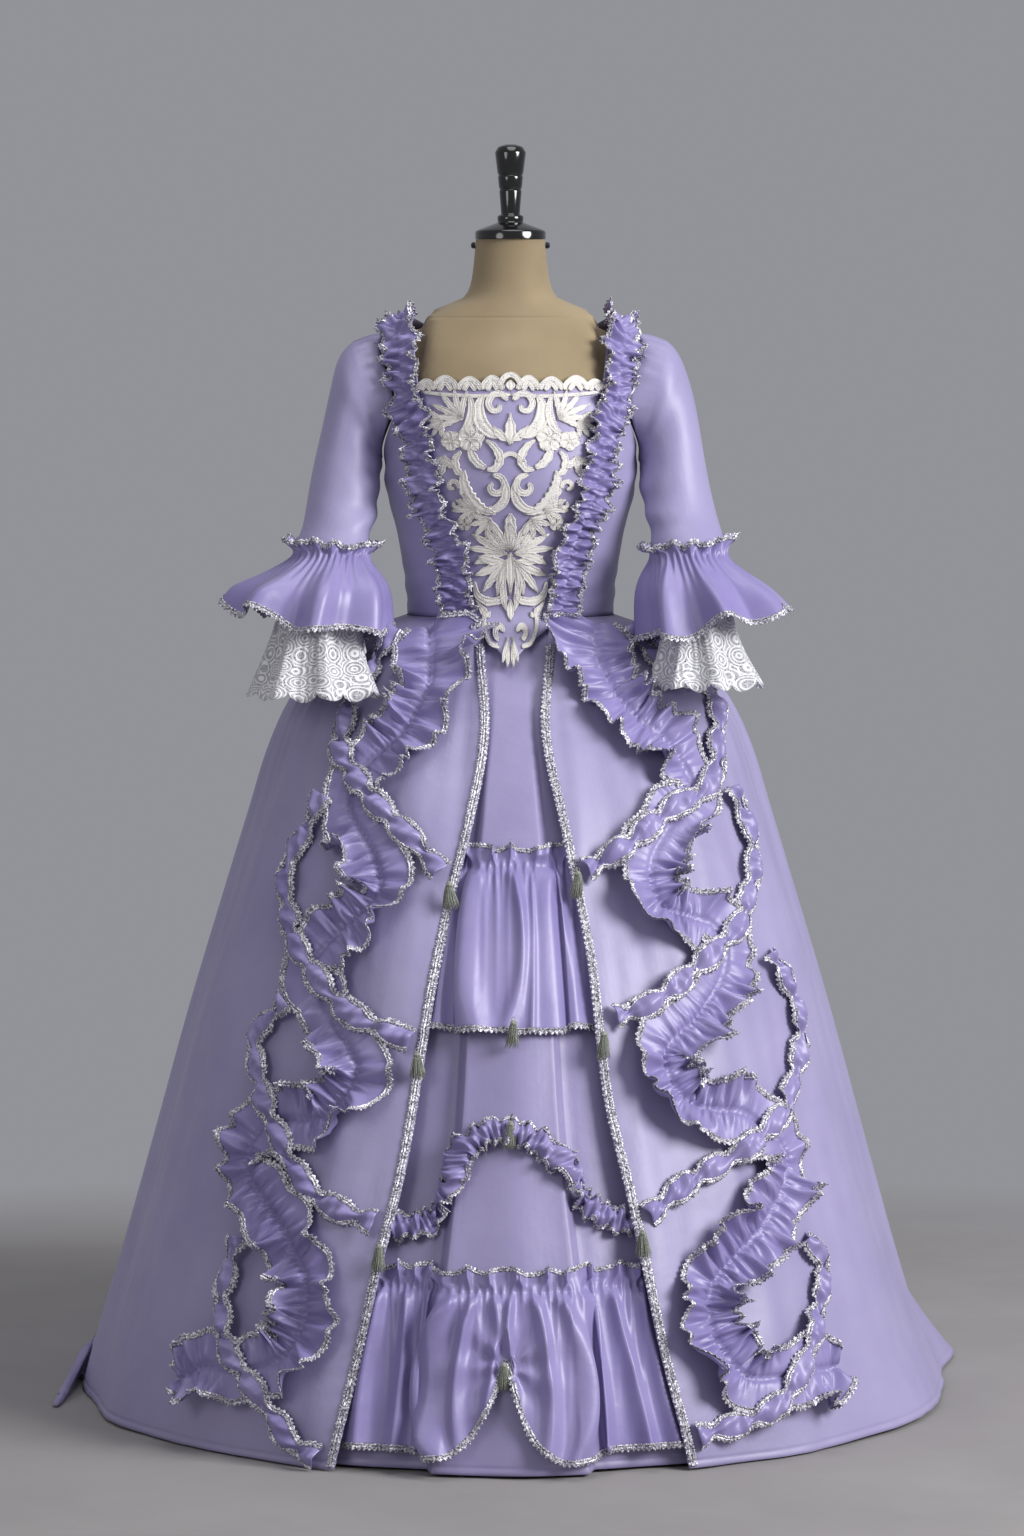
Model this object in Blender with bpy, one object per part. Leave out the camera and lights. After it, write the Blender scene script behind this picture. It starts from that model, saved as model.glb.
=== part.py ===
"""An open-robe ball gown with a trimmed petticoat front, on a limbless dress form.

Metres, +Z up. The gown faces -Y, the viewer's right is +X, and z = 0 is the floor.
Tables hold real sizes in millimetres. A turn is measured round Z from the front,
growing towards +X. Places on the skirt and bodice fronts are given as a viewer in
front sees them: millimetres across from the centre line and up from the floor,
measured on the upright plane through the gown's axis.
"""

import bisect
import math

import bmesh
import bpy
from mathutils import Vector
from mathutils.bvhtree import BVHTree

MM = 0.001
SEAM = 0.0003
WALL = 0.002
THIN_WALL = 0.0015

VIEW_DISTANCE = 6.5
EYE_HEIGHT = 1.343

WAIST = 1.0082
SKIRT_TOP = 1.0078
ARMPIT = 1.2155
SHOULDER_TIP = 1.368
NECK_CORNER = 1.3905
BACK_NECK = 1.352
FRONT_NECK = 1.305
NECK_HALF = 0.122
STOMACHER_POINT = 0.944
STOMACHER_SIDE = 1.002

BODICE_OUT = 0.005
NECK_FULLNESS = 0.0016
SIDE_GAP = 0.003
SIDE_SEAM = math.radians(88)
TRAIN_SPREAD = 0.045
TRAIN_SWEEP = 0.33
TASSEL_HEAD = 0.004

# The form's own surface: height, half width, front depth, back depth
BODY = (
    (1492, 44, 40, 50),
    (1440, 49.5, 44, 57),
    (1417, 58, 48, 64),
    (1405, 84, 52, 70),
    (1392, 116, 56, 76),
    (1380, 139, 61, 82),
    (1366, 157, 68, 88),
    (1345, 165, 80, 94),
    (1300, 163, 98, 99),
    (1250, 158, 115, 102),
    (1187, 157, 123, 101),
    (1106, 139.5, 105, 93),
    (1030, 129, 93, 85),
    (1005, 128, 92, 85),
    (950, 146, 100, 100),
    (880, 165, 110, 118),
    (815, 163, 108, 122),
)

# The overskirt's outer face: height, half width, front depth, back depth
SKIRT = (
    (1008, 134, 98, 92),
    (992, 178, 108, 116),
    (970, 212, 123, 140),
    (945, 242, 141, 168),
    (900, 284, 178, 218),
    (836, 314, 226, 272),
    (758, 338, 276, 324),
    (650, 371, 335, 384),
    (500, 416, 398, 452),
    (340, 460, 460, 520),
    (190, 502, 515, 588),
    (83, 534, 545, 672),
    (0, 557, 562, 850),
)

# How far the petticoat hangs inside the overskirt: height, inset
PETTICOAT_INSET = ((1010, 4.4), (980, 6), (930, 12), (860, 21), (700, 30), (0, 30))
# The petticoat's middle box pleat: height, half width, depth
PLEAT = ((1010, 14, 0), (900, 20, 3), (800, 30, 9), (640, 46, 19), (400, 60, 23), (140, 86, 24), (0, 94, 24))
PLEAT_SHOULDER = 0.014

# The seam between stomacher and bodice front: height, half width
STOMACHER_WIDTH = (
    (1391, 122), (1343, 118), (1300, 113), (1244, 104), (1197, 98), (1149, 89), (1095, 73), (1005, 60),
)

# The overskirt's front edges as seen: across, up
EDGE_RIGHT = ((46, 966), (40, 864), (66, 732), (98, 582), (123, 388), (154, 245), (193, 65), (238, -114))
EDGE_LEFT = (
    (-34, 973), (-28, 864), (-47, 753), (-77, 635), (-107, 474), (-137, 291), (-175, 134), (-233, -119),
)

# The sleeve, as mirrored on both sides: inner x, inner z, outer x, outer z, half depth, middle y
SLEEVE = (
    (164.5, 1212, 189, 1368, 57, 10),
    (165, 1208, 217, 1343, 57, 8),
    (165.5, 1203, 233, 1295, 56, 4),
    (166.5, 1188, 249, 1216, 53, -12),
    (170, 1149, 263, 1140, 49, -40),
    (179, 1113, 272, 1106, 47, -66),
    (181.5, 1083, 275.5, 1083, 47, -85),
)
# The sleeve's trims by side: flounce hem x, half width, lace hem x, half width, lace hem height
CUFF = {
    "left": (255, 100, 243, 83, 897),
    "right": (262, 90, 251, 70, 911),
}

# The robing's middle line: turn in degrees, height
ROBING = (
    (114, 1371),
    (90, 1384),
    (68, 1372),
    (55.5, 1343),
    (54.5, 1288),
    (46.5, 1244),
    (43, 1197),
    (40, 1149),
    (33, 1095),
    (31, 1040),
    (30, 1022),
)

# The wide ruffles' gathered middle lines as seen: across, up
RUFFLE_RIGHT = (
    (112, 976), (116, 938), (155, 877), (197, 843), (232, 778), (198, 722), (179, 670),
    (199, 625), (256, 603), (275, 557), (246, 491), (199, 431), (233, 370), (305, 353),
    (355, 294), (324, 210), (264, 135), (262, 70), (308, 10), (376, 16), (425, 23),
)
RUFFLE_LEFT = (
    (-106, 968), (-105, 914), (-138, 852), (-186, 805), (-203, 753), (-175, 694),
    (-169, 642), (-215, 596), (-255, 540), (-219, 466), (-197, 408), (-241, 352),
    (-310, 343), (-338, 284), (-294, 206), (-262, 129), (-281, 48), (-338, 19), (-393, 24), (-429, 5),
)
# The narrow bands' arcs as seen, from the outside to the front edge: across, up
BANDS_RIGHT = (
    ((149, 982), (179, 956), (210, 938), (246, 919), (267, 869), (249, 782), (205, 753), (147, 704),
     (97, 675)),
    ((285, 783), (312, 704), (301, 625), (258, 569), (189, 505), (136, 484)),
    ((334, 568), (371, 491), (363, 388), (301, 312), (231, 266), (178, 222)),
    ((384, 194), (408, 152), (388, 68), (338, -30), (244, -70)),
)
BANDS_LEFT = (
    ((-146, 980), (-172, 947), (-206, 890), (-215, 831), (-176, 766), (-119, 705), (-89, 672)),
    ((-234, 768), (-284, 687), (-285, 612), (-246, 536), (-195, 481), (-128, 452)),
    ((-282, 503), (-331, 452), (-303, 349), (-266, 266), (-224, 231), (-176, 213)),
    ((-353, 194), (-373, 117), (-359, 43), (-321, -16), (-286, -75), (-251, -98)),
)
FESTOON = (
    (-136, 210), (-103, 217), (-72, 260), (-58, 308), (-20, 332), (29, 322), (71, 281), (98, 239), (140, 217),
)

# Tassels on the front edges: side, height
TASSELS_ON_EDGES = (
    ("left", 692), ("left", 492), ("left", 268), ("right", 704), ("right", 516), ("right", 284),
)
# Tassels on the petticoat's trims: the trim, distance right of the middle, height
TASSELS_ON_TRIMS = (
    ("petticoat_flounce_upper", 4, 526),
    ("petticoat_festoon", 2, 411),
    ("petticoat_flounce_lower", -7, 136),
)

# The petticoat's flounces from hem to header: height, distance off the petticoat, half a wave's depth
UPPER_FLOUNCE = ((514, 4.5, 8), (610, 4, 6), (706.5, 2.75, 0.6), (724, 4.5, 2.5))
LOWER_FLOUNCE = ((29, 5, 8), (120, 4.5, 6), (213.5, 4, 0.6), (233, 5, 2.5))

RUFFLE_HALF_WIDTH = 0.040
RUFFLE_WAVES = 22
ROBING_HALF_WIDTH = 0.023
ROBING_WAVES = 13
BAND_HALF_WIDTH = 0.012
FESTOON_HALF_WIDTH = 0.012
# How far off the skirt the bands lie, and the first ones, over the sharper curve of the hip
BAND_LOW = 0.0017
HIP_BAND_LOW = 0.0021
BRAID_WIDTH = 0.012

# The turned neck cap and knob: height, radius
CAP = (
    (1489.5, 45.5), (1499, 45.5), (1501, 43), (1506, 30), (1511, 16), (1514, 16.8),
    (1519, 16.8), (1521, 12), (1551, 14.4), (1553, 13.2), (1555, 14.8), (1569, 16.2),
    (1571, 15), (1573, 16.6), (1600, 20), (1607, 16), (1610, 8),
)
# The neck screws: distance from the middle, radius
SCREW = ((45.2, 4), (48.5, 4), (50.5, 2.4))
FORM_HEIGHTS = (
    820, 900, 1005, 1110, 1187, 1250, 1290, 1325, 1350, 1368, 1380, 1392, 1405, 1417, 1440, 1489,
)
BASE = ((0, 190), (10, 190), (17, 178), (24, 60), (50, 32), (56, 22))

COLOURS = {
    "satin": (0.44, 0.38, 0.66, 1.0),
    "lace": (0.85, 0.84, 0.86, 1.0),
    "braid": (0.62, 0.62, 0.66, 1.0),
    "tassel": (0.33, 0.36, 0.32, 1.0),
    "linen": (0.38, 0.30, 0.18, 1.0),
    "ebony": (0.01, 0.01, 0.01, 1.0),
    "iron": (0.05, 0.05, 0.05, 1.0),
}
ROUGHNESS = {
    "satin": 0.42, "lace": 0.8, "braid": 0.45, "tassel": 0.8, "linen": 0.9, "ebony": 0.15, "iron": 0.4,
}
METAL = {"braid": 0.5, "iron": 0.8}


def clear_scene():
    for thing in list(bpy.data.objects):
        bpy.data.objects.remove(thing)


def blend(a, b, share):
    return a + (b - a) * share


def ease(share):
    """0 to 1 with a soft start and end."""
    share = min(1.0, max(0.0, share))
    return share * share * (3 - 2 * share)


def gentle_slopes(keys, values):
    """A slope at each key that never lets the curve overshoot its rows."""
    steps = [(b - a) / (y - x) for x, y, a, b in zip(keys, keys[1:], values, values[1:])]
    inner = [0.0 if p * q <= 0 else 2 * p * q / (p + q) for p, q in zip(steps, steps[1:])]
    return [steps[0], *inner, steps[-1]]


def columns_at(rows, scale=MM):
    """A function of a table's first column that gives its other columns, smoothly."""
    rows = sorted(tuple(value * scale for value in row) for row in rows)
    keys = [row[0] for row in rows]
    columns = list(zip(*rows))[1:]
    slopes = [gentle_slopes(keys, column) for column in columns]

    def at(key):
        key = min(max(key, keys[0]), keys[-1])
        i = max(0, min(bisect.bisect_right(keys, key), len(keys) - 1) - 1)
        span = keys[i + 1] - keys[i]
        t = (key - keys[i]) / span
        near, far = (1 + 2 * t) * (1 - t) ** 2, t * t * (3 - 2 * t)
        leave, arrive = t * (1 - t) ** 2 * span, t * t * (t - 1) * span
        return [
            near * column[i] + far * column[i + 1] + leave * slope[i] + arrive * slope[i + 1]
            for column, slope in zip(columns, slopes)
        ]

    return at


class Surface:
    """A form with its own half width, front depth and back depth at each height."""

    def __init__(self, rows, swell=None, sweep=None):
        self.size = columns_at(rows)
        self.swell = swell or (lambda turn, height: 0.0)
        self.sweep = sweep or (lambda turn, height: 0.0)

    def bare(self, turn, height):
        half, front, back = self.size(height)
        swell = self.swell(turn, height)
        depth = front if math.cos(turn) > 0 else back
        across = (half + swell) * math.sin(turn)
        return Vector((across, -(depth + swell) * math.cos(turn) - self.sweep(turn, height), height))

    def normal(self, turn, height):
        across = self.bare(turn + 0.02, height) - self.bare(turn - 0.02, height)
        up = self.bare(turn, height + 0.003) - self.bare(turn, height - 0.003)
        return across.cross(up).normalized()

    def point(self, turn, height, out=0.0):
        return self.bare(turn, height) + self.normal(turn, height) * out

    def place(self, point):
        """The turn and height of a point near the surface."""
        half, front, back = self.size(point.z)
        depth = front if point.y < 0 else back
        return math.atan2(point.x / half, -point.y / depth), point.z

    def settle(self, point, out):
        return self.point(*self.place(point), out)

    def at_x(self, x, height):
        half = self.size(height)[0]
        return math.asin(max(-1.0, min(1.0, x / half)))

    def seen(self, across, up):
        """The turn and height that a viewer in front sees there, both given in millimetres."""
        near, turn, height = VIEW_DISTANCE, 0.0, up * MM
        for _ in range(25):
            share = near / VIEW_DISTANCE
            height = EYE_HEIGHT - (EYE_HEIGHT - up * MM) * share
            turn = self.at_x(across * MM * share, height)
            front = self.size(height)[1] + self.swell(turn, height)
            near = VIEW_DISTANCE - front * math.cos(turn)
        return turn, height


def skirt_folds(turn, height):
    """Soft uneven folds that deepen towards the hem, deeper behind, and the train's spread."""
    low = 1 - min(1.0, height / 0.95)
    behind = ease((abs(math.remainder(turn, math.tau)) - SIDE_SEAM) / 0.5)
    wave = 0.6 * math.sin(11 * turn + 0.7) + 0.4 * math.sin(17 * turn + 2.1)
    return wave * low * blend(0.004, 0.017, behind) + train_spread(turn, height)


def past_side(turn):
    """How far behind the side a turn is, in degrees."""
    return math.degrees(abs(math.remainder(turn, math.tau))) - 90


def train_spread(turn, height):
    return TRAIN_SPREAD * ease(past_side(turn) / 14) * max(0.0, 1 - height / 0.22) ** 2


def train_sweep(turn, height):
    """How far the train's left corner is swept forward over the floor."""
    if math.sin(turn) > 0:
        return 0.0
    bump = math.exp(-(((past_side(turn) - 11) / 5.5) ** 2)) * ease(past_side(turn) / 6)
    return TRAIN_SWEEP * bump * max(0.0, 1 - height / 0.09) ** 1.5


def pleat_at(turn, height):
    half, depth = pleat(height)
    x = abs(skirt_size(height)[0] * math.sin(turn))
    return depth * (1 - ease((x - half) / PLEAT_SHOULDER))


def petticoat_swell(turn, height):
    ripple = 0.003 * math.sin(13 * turn + 1.0) * (1 - height)
    return pleat_at(turn, height) + ripple - petticoat_inset(height)[0]


skirt_size = columns_at(SKIRT)
petticoat_inset = columns_at(PETTICOAT_INSET)
pleat = columns_at(PLEAT)
stomacher_width = columns_at(STOMACHER_WIDTH)
body = Surface(BODY)
skirt = Surface(SKIRT, skirt_folds, train_sweep)
petticoat = Surface(SKIRT, petticoat_swell)


bodice = Surface(BODY, lambda turn, height: BODICE_OUT)


def edge_line(rows):
    """The turn of an overskirt's front edge at a height."""
    places = [skirt.seen(*row) for row in rows]
    top = (SKIRT_TOP + 0.002, skirt.at_x(rows[0][0] * MM, SKIRT_TOP))
    table = [(height, turn) for turn, height in places] + [top]
    line = columns_at(table, 1.0)
    return lambda height: line(height)[0]


edge_turn = {"left": edge_line(EDGE_LEFT), "right": edge_line(EDGE_RIGHT)}


def smooth_route(rows, per_span=10):
    """Places along a smooth line through a table's rows."""
    rows = [Vector(row) for row in rows]
    padded = [rows[0] * 2 - rows[1], *rows, rows[-1] * 2 - rows[-2]]
    line = []
    for a, b, c, d in zip(padded, padded[1:], padded[2:], padded[3:]):
        for step in range(per_span):
            t = step / per_span
            square, cube = 2 * a - 5 * b + 4 * c - d, 3 * b - 3 * c + d - a
            line.append((2 * b + (c - a) * t + square * t**2 + cube * t**3) / 2)
    return [*line, rows[-1]]


def even_places(surface, places, count):
    """This many places, evenly spaced along a line of turns and heights."""
    points = [surface.bare(*place) for place in places]
    travelled = [0.0]
    for a, b in zip(points, points[1:]):
        travelled.append(travelled[-1] + (b - a).length)
    chosen = []
    for i in range(count):
        want = travelled[-1] * i / (count - 1)
        k = max(1, min(bisect.bisect_left(travelled, want), len(points) - 1))
        t = (want - travelled[k - 1]) / max(1e-9, travelled[k] - travelled[k - 1])
        chosen.append(tuple(blend(a, b, t) for a, b in zip(places[k - 1], places[k])))
    return chosen, travelled[-1]


def frames_along(surface, places):
    """Each place's point, direction across the line, and the line's bend there."""
    points = [surface.bare(*place) for place in places]
    frames = []
    for i, place in enumerate(places):
        before, after = points[max(0, i - 1)], points[min(len(points) - 1, i + 1)]
        along = (after - before).normalized()
        across = along.cross(surface.normal(*place)).normalized()
        frames.append([points[i], across, 0.0])
    for i in range(1, len(points) - 1):
        turned = (points[i + 1] - points[i]).normalized() - (points[i] - points[i - 1]).normalized()
        frames[i][2] = turned.dot(frames[i][1]) / (points[i + 1] - points[i]).length
    return frames


def room_at(bend, side, half_width):
    """The width that fits inside a bend without the cloth crossing itself."""
    inward = bend * side
    return half_width if inward * half_width < 0.7 else 0.7 / inward


def finish_for(kind):
    if kind in bpy.data.materials:
        return bpy.data.materials[kind]
    material = bpy.data.materials.new(kind)
    material.use_nodes = True
    surface = material.node_tree.nodes["Principled BSDF"]
    surface.inputs["Base Color"].default_value = COLOURS[kind]
    surface.inputs["Roughness"].default_value = ROUGHNESS[kind]
    surface.inputs["Metallic"].default_value = METAL.get(kind, 0.0)
    return material


def add_object(name, shape, kind):
    mesh = bpy.data.meshes.new(name)
    shape.to_mesh(mesh)
    shape.free()
    mesh.shade_smooth()
    mesh.set_sharp_from_angle(angle=math.radians(50))
    mesh.materials.append(finish_for(kind))
    made = bpy.data.objects.new(name, mesh)
    bpy.context.scene.collection.objects.link(made)
    return made


def grid_shape(rows, ring=False, gaps=None, flip=False):
    """Faces between rows of points. Rows run upwards and points run to the right, seen from outside."""
    shape = bmesh.new()
    made = [[shape.verts.new(point) for point in row] for row in rows]
    count = len(rows[0])
    for r, (low, high) in enumerate(zip(made, made[1:])):
        for c in range(count if ring else count - 1):
            if gaps and gaps(r, c):
                continue
            after = (c + 1) % count
            corners = (low[c], low[after], high[after], high[c])
            shape.faces.new(corners[::-1] if flip else corners)
    loose = [vert for vert in shape.verts if not vert.link_faces]
    bmesh.ops.delete(shape, geom=loose, context="VERTS")
    return shape


def cloth(name, rows, kind="satin", wall=WALL, **how):
    """A wall of even thickness behind rows of points on its outer face."""
    made = add_object(name, grid_shape(rows, **how), kind)
    solidify = made.modifiers.new("wall", "SOLIDIFY")
    solidify.thickness = wall
    solidify.offset = -1
    return made


def add_split(shape, a, b, c, d):
    """Two triangles for four corners, split along the shorter diagonal."""
    if (a.co - c.co).length < (b.co - d.co).length:
        halves = (a, b, c), (a, c, d)
    else:
        halves = (a, b, d), (b, c, d)
    for half in halves:
        shape.faces.new(half)


def surface_cloth(name, surface, places, out=0.0, kind="satin", wall=WALL, side=1):
    """A wall through rows of places on a surface, on its right side or mirrored to its left."""
    faces = []
    for depth in (out, out - wall):
        rows = [[surface.point(*place, depth) for place in row] for row in places]
        faces.append(rows if side > 0 else mirrored(rows))
    outer, inner = faces
    shape = bmesh.new()
    front, behind = (
        [[shape.verts.new(point) for point in row] for row in rows] for rows in (outer, inner)
    )
    for r in range(len(front) - 1):
        for c in range(len(front[0]) - 1):
            add_split(shape, front[r][c], front[r][c + 1], front[r + 1][c + 1], front[r + 1][c])
            add_split(shape, behind[r][c], behind[r + 1][c], behind[r + 1][c + 1], behind[r][c + 1])
    across, up = len(front[0]) - 1, len(front) - 1
    rim = [*((0, c) for c in range(across)), *((r, -1) for r in range(up))]
    rim += [*((-1, c) for c in range(across, 0, -1)), *((r, 0) for r in range(up, 0, -1))]
    for (r, c), (s, d) in zip(rim, rim[1:] + rim[:1]):
        shape.faces.new((front[s][d], front[r][c], behind[r][c], behind[s][d]))
    return add_object(name, shape, kind)


def solid(name, rings, kind):
    """A closed form through rings of points that run upwards, with flat ends."""
    shape = grid_shape(rings, ring=True)
    shape.verts.ensure_lookup_table()
    count = len(rings[0])
    shape.faces.new(shape.verts[:count][::-1])
    shape.faces.new(shape.verts[-count:])
    return add_object(name, shape, kind)


def circle(radius, height, sides):
    """A level ring of points round the gown's axis, in millimetres."""
    angles = (math.tau * i / sides for i in range(sides))
    return [Vector((radius * math.sin(a), -radius * math.cos(a), height)) * MM for a in angles]


def turned(name, rows, kind, sides=12):
    return solid(name, [circle(radius, height, sides) for height, radius in rows], kind)


def patch(left, right, low, high, across, up):
    """Rows of places between four edges, each a function of 0 to 1 that gives a turn and height."""
    corners = [[low(0), low(1)], [high(0), high(1)]]
    rows = []
    for j in range(up + 1):
        v = j / up
        row = []
        for i in range(across + 1):
            u = i / across
            place = []
            for k in range(2):
                edges = blend(low(u)[k], high(u)[k], v) + blend(left(v)[k], right(v)[k], u)
                bottom = blend(corners[0][0][k], corners[0][1][k], u)
                top = blend(corners[1][0][k], corners[1][1][k], u)
                place.append(edges - blend(bottom, top, v))
            row.append(tuple(place))
        rows.append(row)
    return rows


def form_place(turn, height):
    """The form's surface, smaller where the gown hides it and full where the gown's neck rests on it."""
    point = body.bare(turn, height)
    beside_neck = ease((abs(point.x) - 0.102) / 0.02)
    top = FRONT_NECK if point.y < 0 else back_neck(point.x)
    hidden = max(beside_neck, ease((top - 0.006 - height) / 0.02)) if height > 1.25 else 1.0
    below_neck = ease((1.41 - height) / 0.02)
    depth = blend(0.007, 0.015, ease((height - 1.32) / 0.03)) * below_neck
    return body.point(turn, height, NECK_FULLNESS * below_neck * (1 - hidden) - depth * hidden)


def back_neck(x):
    """The height of the back neckline at a distance from the middle."""
    return BACK_NECK + (NECK_CORNER - BACK_NECK) * min(1.0, abs(x) / NECK_HALF) ** 2


def screw_ring(side, x, radius):
    """A ring of a screw that points out to the side, under the neck cap."""
    angles = (math.tau * i / 8 for i in range(8))
    return [
        Vector((side * x, radius * math.cos(side * a) - 4, radius * math.sin(side * a) + 1481.5)) * MM
        for a in angles
    ]


def build_form():
    sides = 24
    rings = [
        [form_place(math.tau * i / sides, height * MM) for i in range(sides)] for height in FORM_HEIGHTS
    ]
    solid("form_torso", rings, "linen")
    turned("form_cap", CAP, "ebony")
    for side, name in ((-1, "form_screw_left"), (1, "form_screw_right")):
        solid(name, [screw_ring(side, x, radius) for x, radius in SCREW], "iron")
    turned("form_pole", ((56.3, 16), (819.7, 16)), "ebony")
    turned("form_base", BASE, "ebony", 24)


def armhole_turn(height, dip):
    """How far round from the side the armhole lies at a height."""
    share = (height - ARMPIT) / (SHOULDER_TIP - ARMPIT)
    return math.radians(90) - math.radians(dip) * math.sin(math.pi * min(1.0, max(0.0, share)))


def build_bodice():
    side_turn = math.radians(90) - SIDE_GAP

    def seam(v):
        height = blend(WAIST, NECK_CORNER, v)
        return min(side_turn, bodice.at_x(stomacher_width(height)[0], height) + 0.006), height

    def outer(v):
        height = blend(WAIST, SHOULDER_TIP, v)
        return armhole_turn(height, 28) - SIDE_GAP, height

    def ridge(u):
        return side_turn, blend(NECK_CORNER, SHOULDER_TIP, u)

    def waist(u):
        return blend(seam(0)[0], side_turn, u), WAIST

    build_pair("bodice_front", patch(seam, outer, waist, ridge, 5, 10))

    def back_outer(v):
        height = blend(WAIST, SHOULDER_TIP, v)
        return math.pi - armhole_turn(height, 30) + SIDE_GAP, height

    def centre(v):
        return math.pi - 0.002, blend(WAIST, BACK_NECK, v)

    def back_waist(u):
        return blend(math.pi - side_turn, math.pi - 0.002, u), WAIST

    def back_top(u):
        """The shoulder seam, then the curve of the back neck."""
        if u < 0.34:
            return math.pi - side_turn, blend(SHOULDER_TIP, NECK_CORNER, u / 0.34)
        x = NECK_HALF * (1 - u) / 0.66
        height = back_neck(x)
        return min(math.pi - 0.002, math.pi - min(side_turn, bodice.at_x(x, height))), height

    build_pair("bodice_back", patch(back_outer, centre, back_waist, back_top, 9, 9))


def mirrored(rows):
    return [[Vector((-p.x, p.y, p.z)) for p in row[::-1]] for row in rows]


def build_pair(name, places):
    for side, label in ((1, "right"), (-1, "left")):
        surface_cloth(f"{name}_{label}", bodice, places, side=side)


def stomacher_point(x, height, out):
    """On the bodice, easing out to lie over the skirt's top below the waist."""
    on_bodice = bodice.point(bodice.at_x(x, height), height, out)
    on_skirt = skirt.point(skirt.at_x(x, min(height, 1.008)), height, out + 0.0035)
    return on_bodice.lerp(on_skirt, ease((1.024 - height) / 0.02))


def stomacher_rows(across, up):
    """Rows over the stomacher, just inside its seams."""
    rows = []
    for j in range(up + 1):
        row = []
        for i in range(across + 1):
            u = 2 * i / across - 1
            height = blend(blend(STOMACHER_POINT, STOMACHER_SIDE, abs(u)), FRONT_NECK, j / up)
            half = stomacher_width(max(height, STOMACHER_SIDE))[0] - 3 * SEAM
            row.append(stomacher_point(u * half, height, 0.0))
        rows.append(row)
    return rows


def build_stomacher():
    cloth("stomacher", stomacher_rows(6, 9))


def refined(rows):
    """The rows with a point added halfway between each two neighbours, both ways."""
    finer = [[p for a, b in zip(row, row[1:]) for p in (a, (a + b) / 2)] + [row[-1]] for row in rows]
    between = [[(p + q) / 2 for p, q in zip(a, b)] for a, b in zip(finer, finer[1:])]
    return [row for pair in zip(finer, between) for row in pair] + [finer[-1]]


def moved_out(rows, out):
    """Each point moved off its rows' surface, outwards to the front."""
    moved = []
    for r, row in enumerate(rows):
        low, high = rows[max(0, r - 1)], rows[min(len(rows) - 1, r + 1)]
        line = []
        for c, point in enumerate(row):
            across = row[min(len(row) - 1, c + 1)] - row[max(0, c - 1)]
            line.append(point + across.cross(high[c] - low[c]).normalized() * out)
        moved.append(line)
    return moved


def lace_gap(r, c):
    """Openings between the scrolls, in pairs either side of the middle."""
    away = abs(c - 4.5)
    if away > 4 or r < 2 or r > 15:
        return False
    if r % 4 == 3:
        return away == 2.5
    return r % 4 == 1 and (away == 1.5 or (away == 3.5 and r > 8))


def build_lace():
    """The applique lies on the stomacher, inside the robings."""
    rows = [row[1:-1] for row in refined(stomacher_rows(6, 9))]
    cloth("lace_applique", moved_out(rows, 0.0027 + THIN_WALL), "lace", THIN_WALL, gaps=lace_gap)


def sleeve_ring(row, sides, side):
    inner_x, inner_z, outer_x, outer_z, depth, middle_y = (value * MM for value in row)
    centre = Vector(((inner_x + outer_x) / 2, middle_y, (inner_z + outer_z) / 2))
    reach = Vector(((outer_x - inner_x) / 2, 0, (outer_z - inner_z) / 2))
    ring = []
    for i in range(sides):
        angle = math.tau * i / sides
        point = centre + reach * math.cos(angle) + Vector((0, depth * math.sin(angle), 0))
        ring.append(Vector((side * point.x, point.y, point.z)))
    return ring


def armhole_ring(sides, side):
    """The sleeve's first ring, just outside the bodice's armhole."""
    ring = []
    middle, half = (ARMPIT + SHOULDER_TIP) / 2, (SHOULDER_TIP - ARMPIT) / 2
    for i in range(sides):
        angle = math.tau * i / sides
        height = middle + half * math.cos(angle)
        front = math.sin(angle) < 0
        turn = armhole_turn(height, 26 if front else 28)
        turn = turn if front else math.pi - turn
        point = bodice.point(turn, height, 0.0011 + 0.0022 * max(0.0, -math.cos(angle)))
        ring.append(Vector((side * point.x, point.y, point.z)))
    return ring


def flared_ring(side, sides, centre, half, depth, wave, count, shift):
    """A level ring round a sleeve's end, standing in and out in uneven waves."""
    ring = []
    for i in range(sides):
        angle = math.tau * i / sides
        swing = wave * math.sin(count * angle + shift + 0.5 * math.sin(2 * angle))
        x = centre.x * side + (half + swing) * math.sin(angle)
        y = centre.y - (depth + swing) * math.cos(angle)
        ring.append(Vector((x, y, centre.z + 0.25 * swing)))
    return ring


def off_skirt(point, gap):
    """The point, or the nearest place level with it that clears the skirt."""
    half, front, back = skirt.size(point.z)
    depth = front if point.y < 0 else back
    reach = math.hypot(point.x / half, point.y / depth)
    wanted = 1 + gap / min(half, depth)
    if reach >= wanted:
        return point
    return Vector((point.x * wanted / reach, point.y * wanted / reach, point.z))


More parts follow.
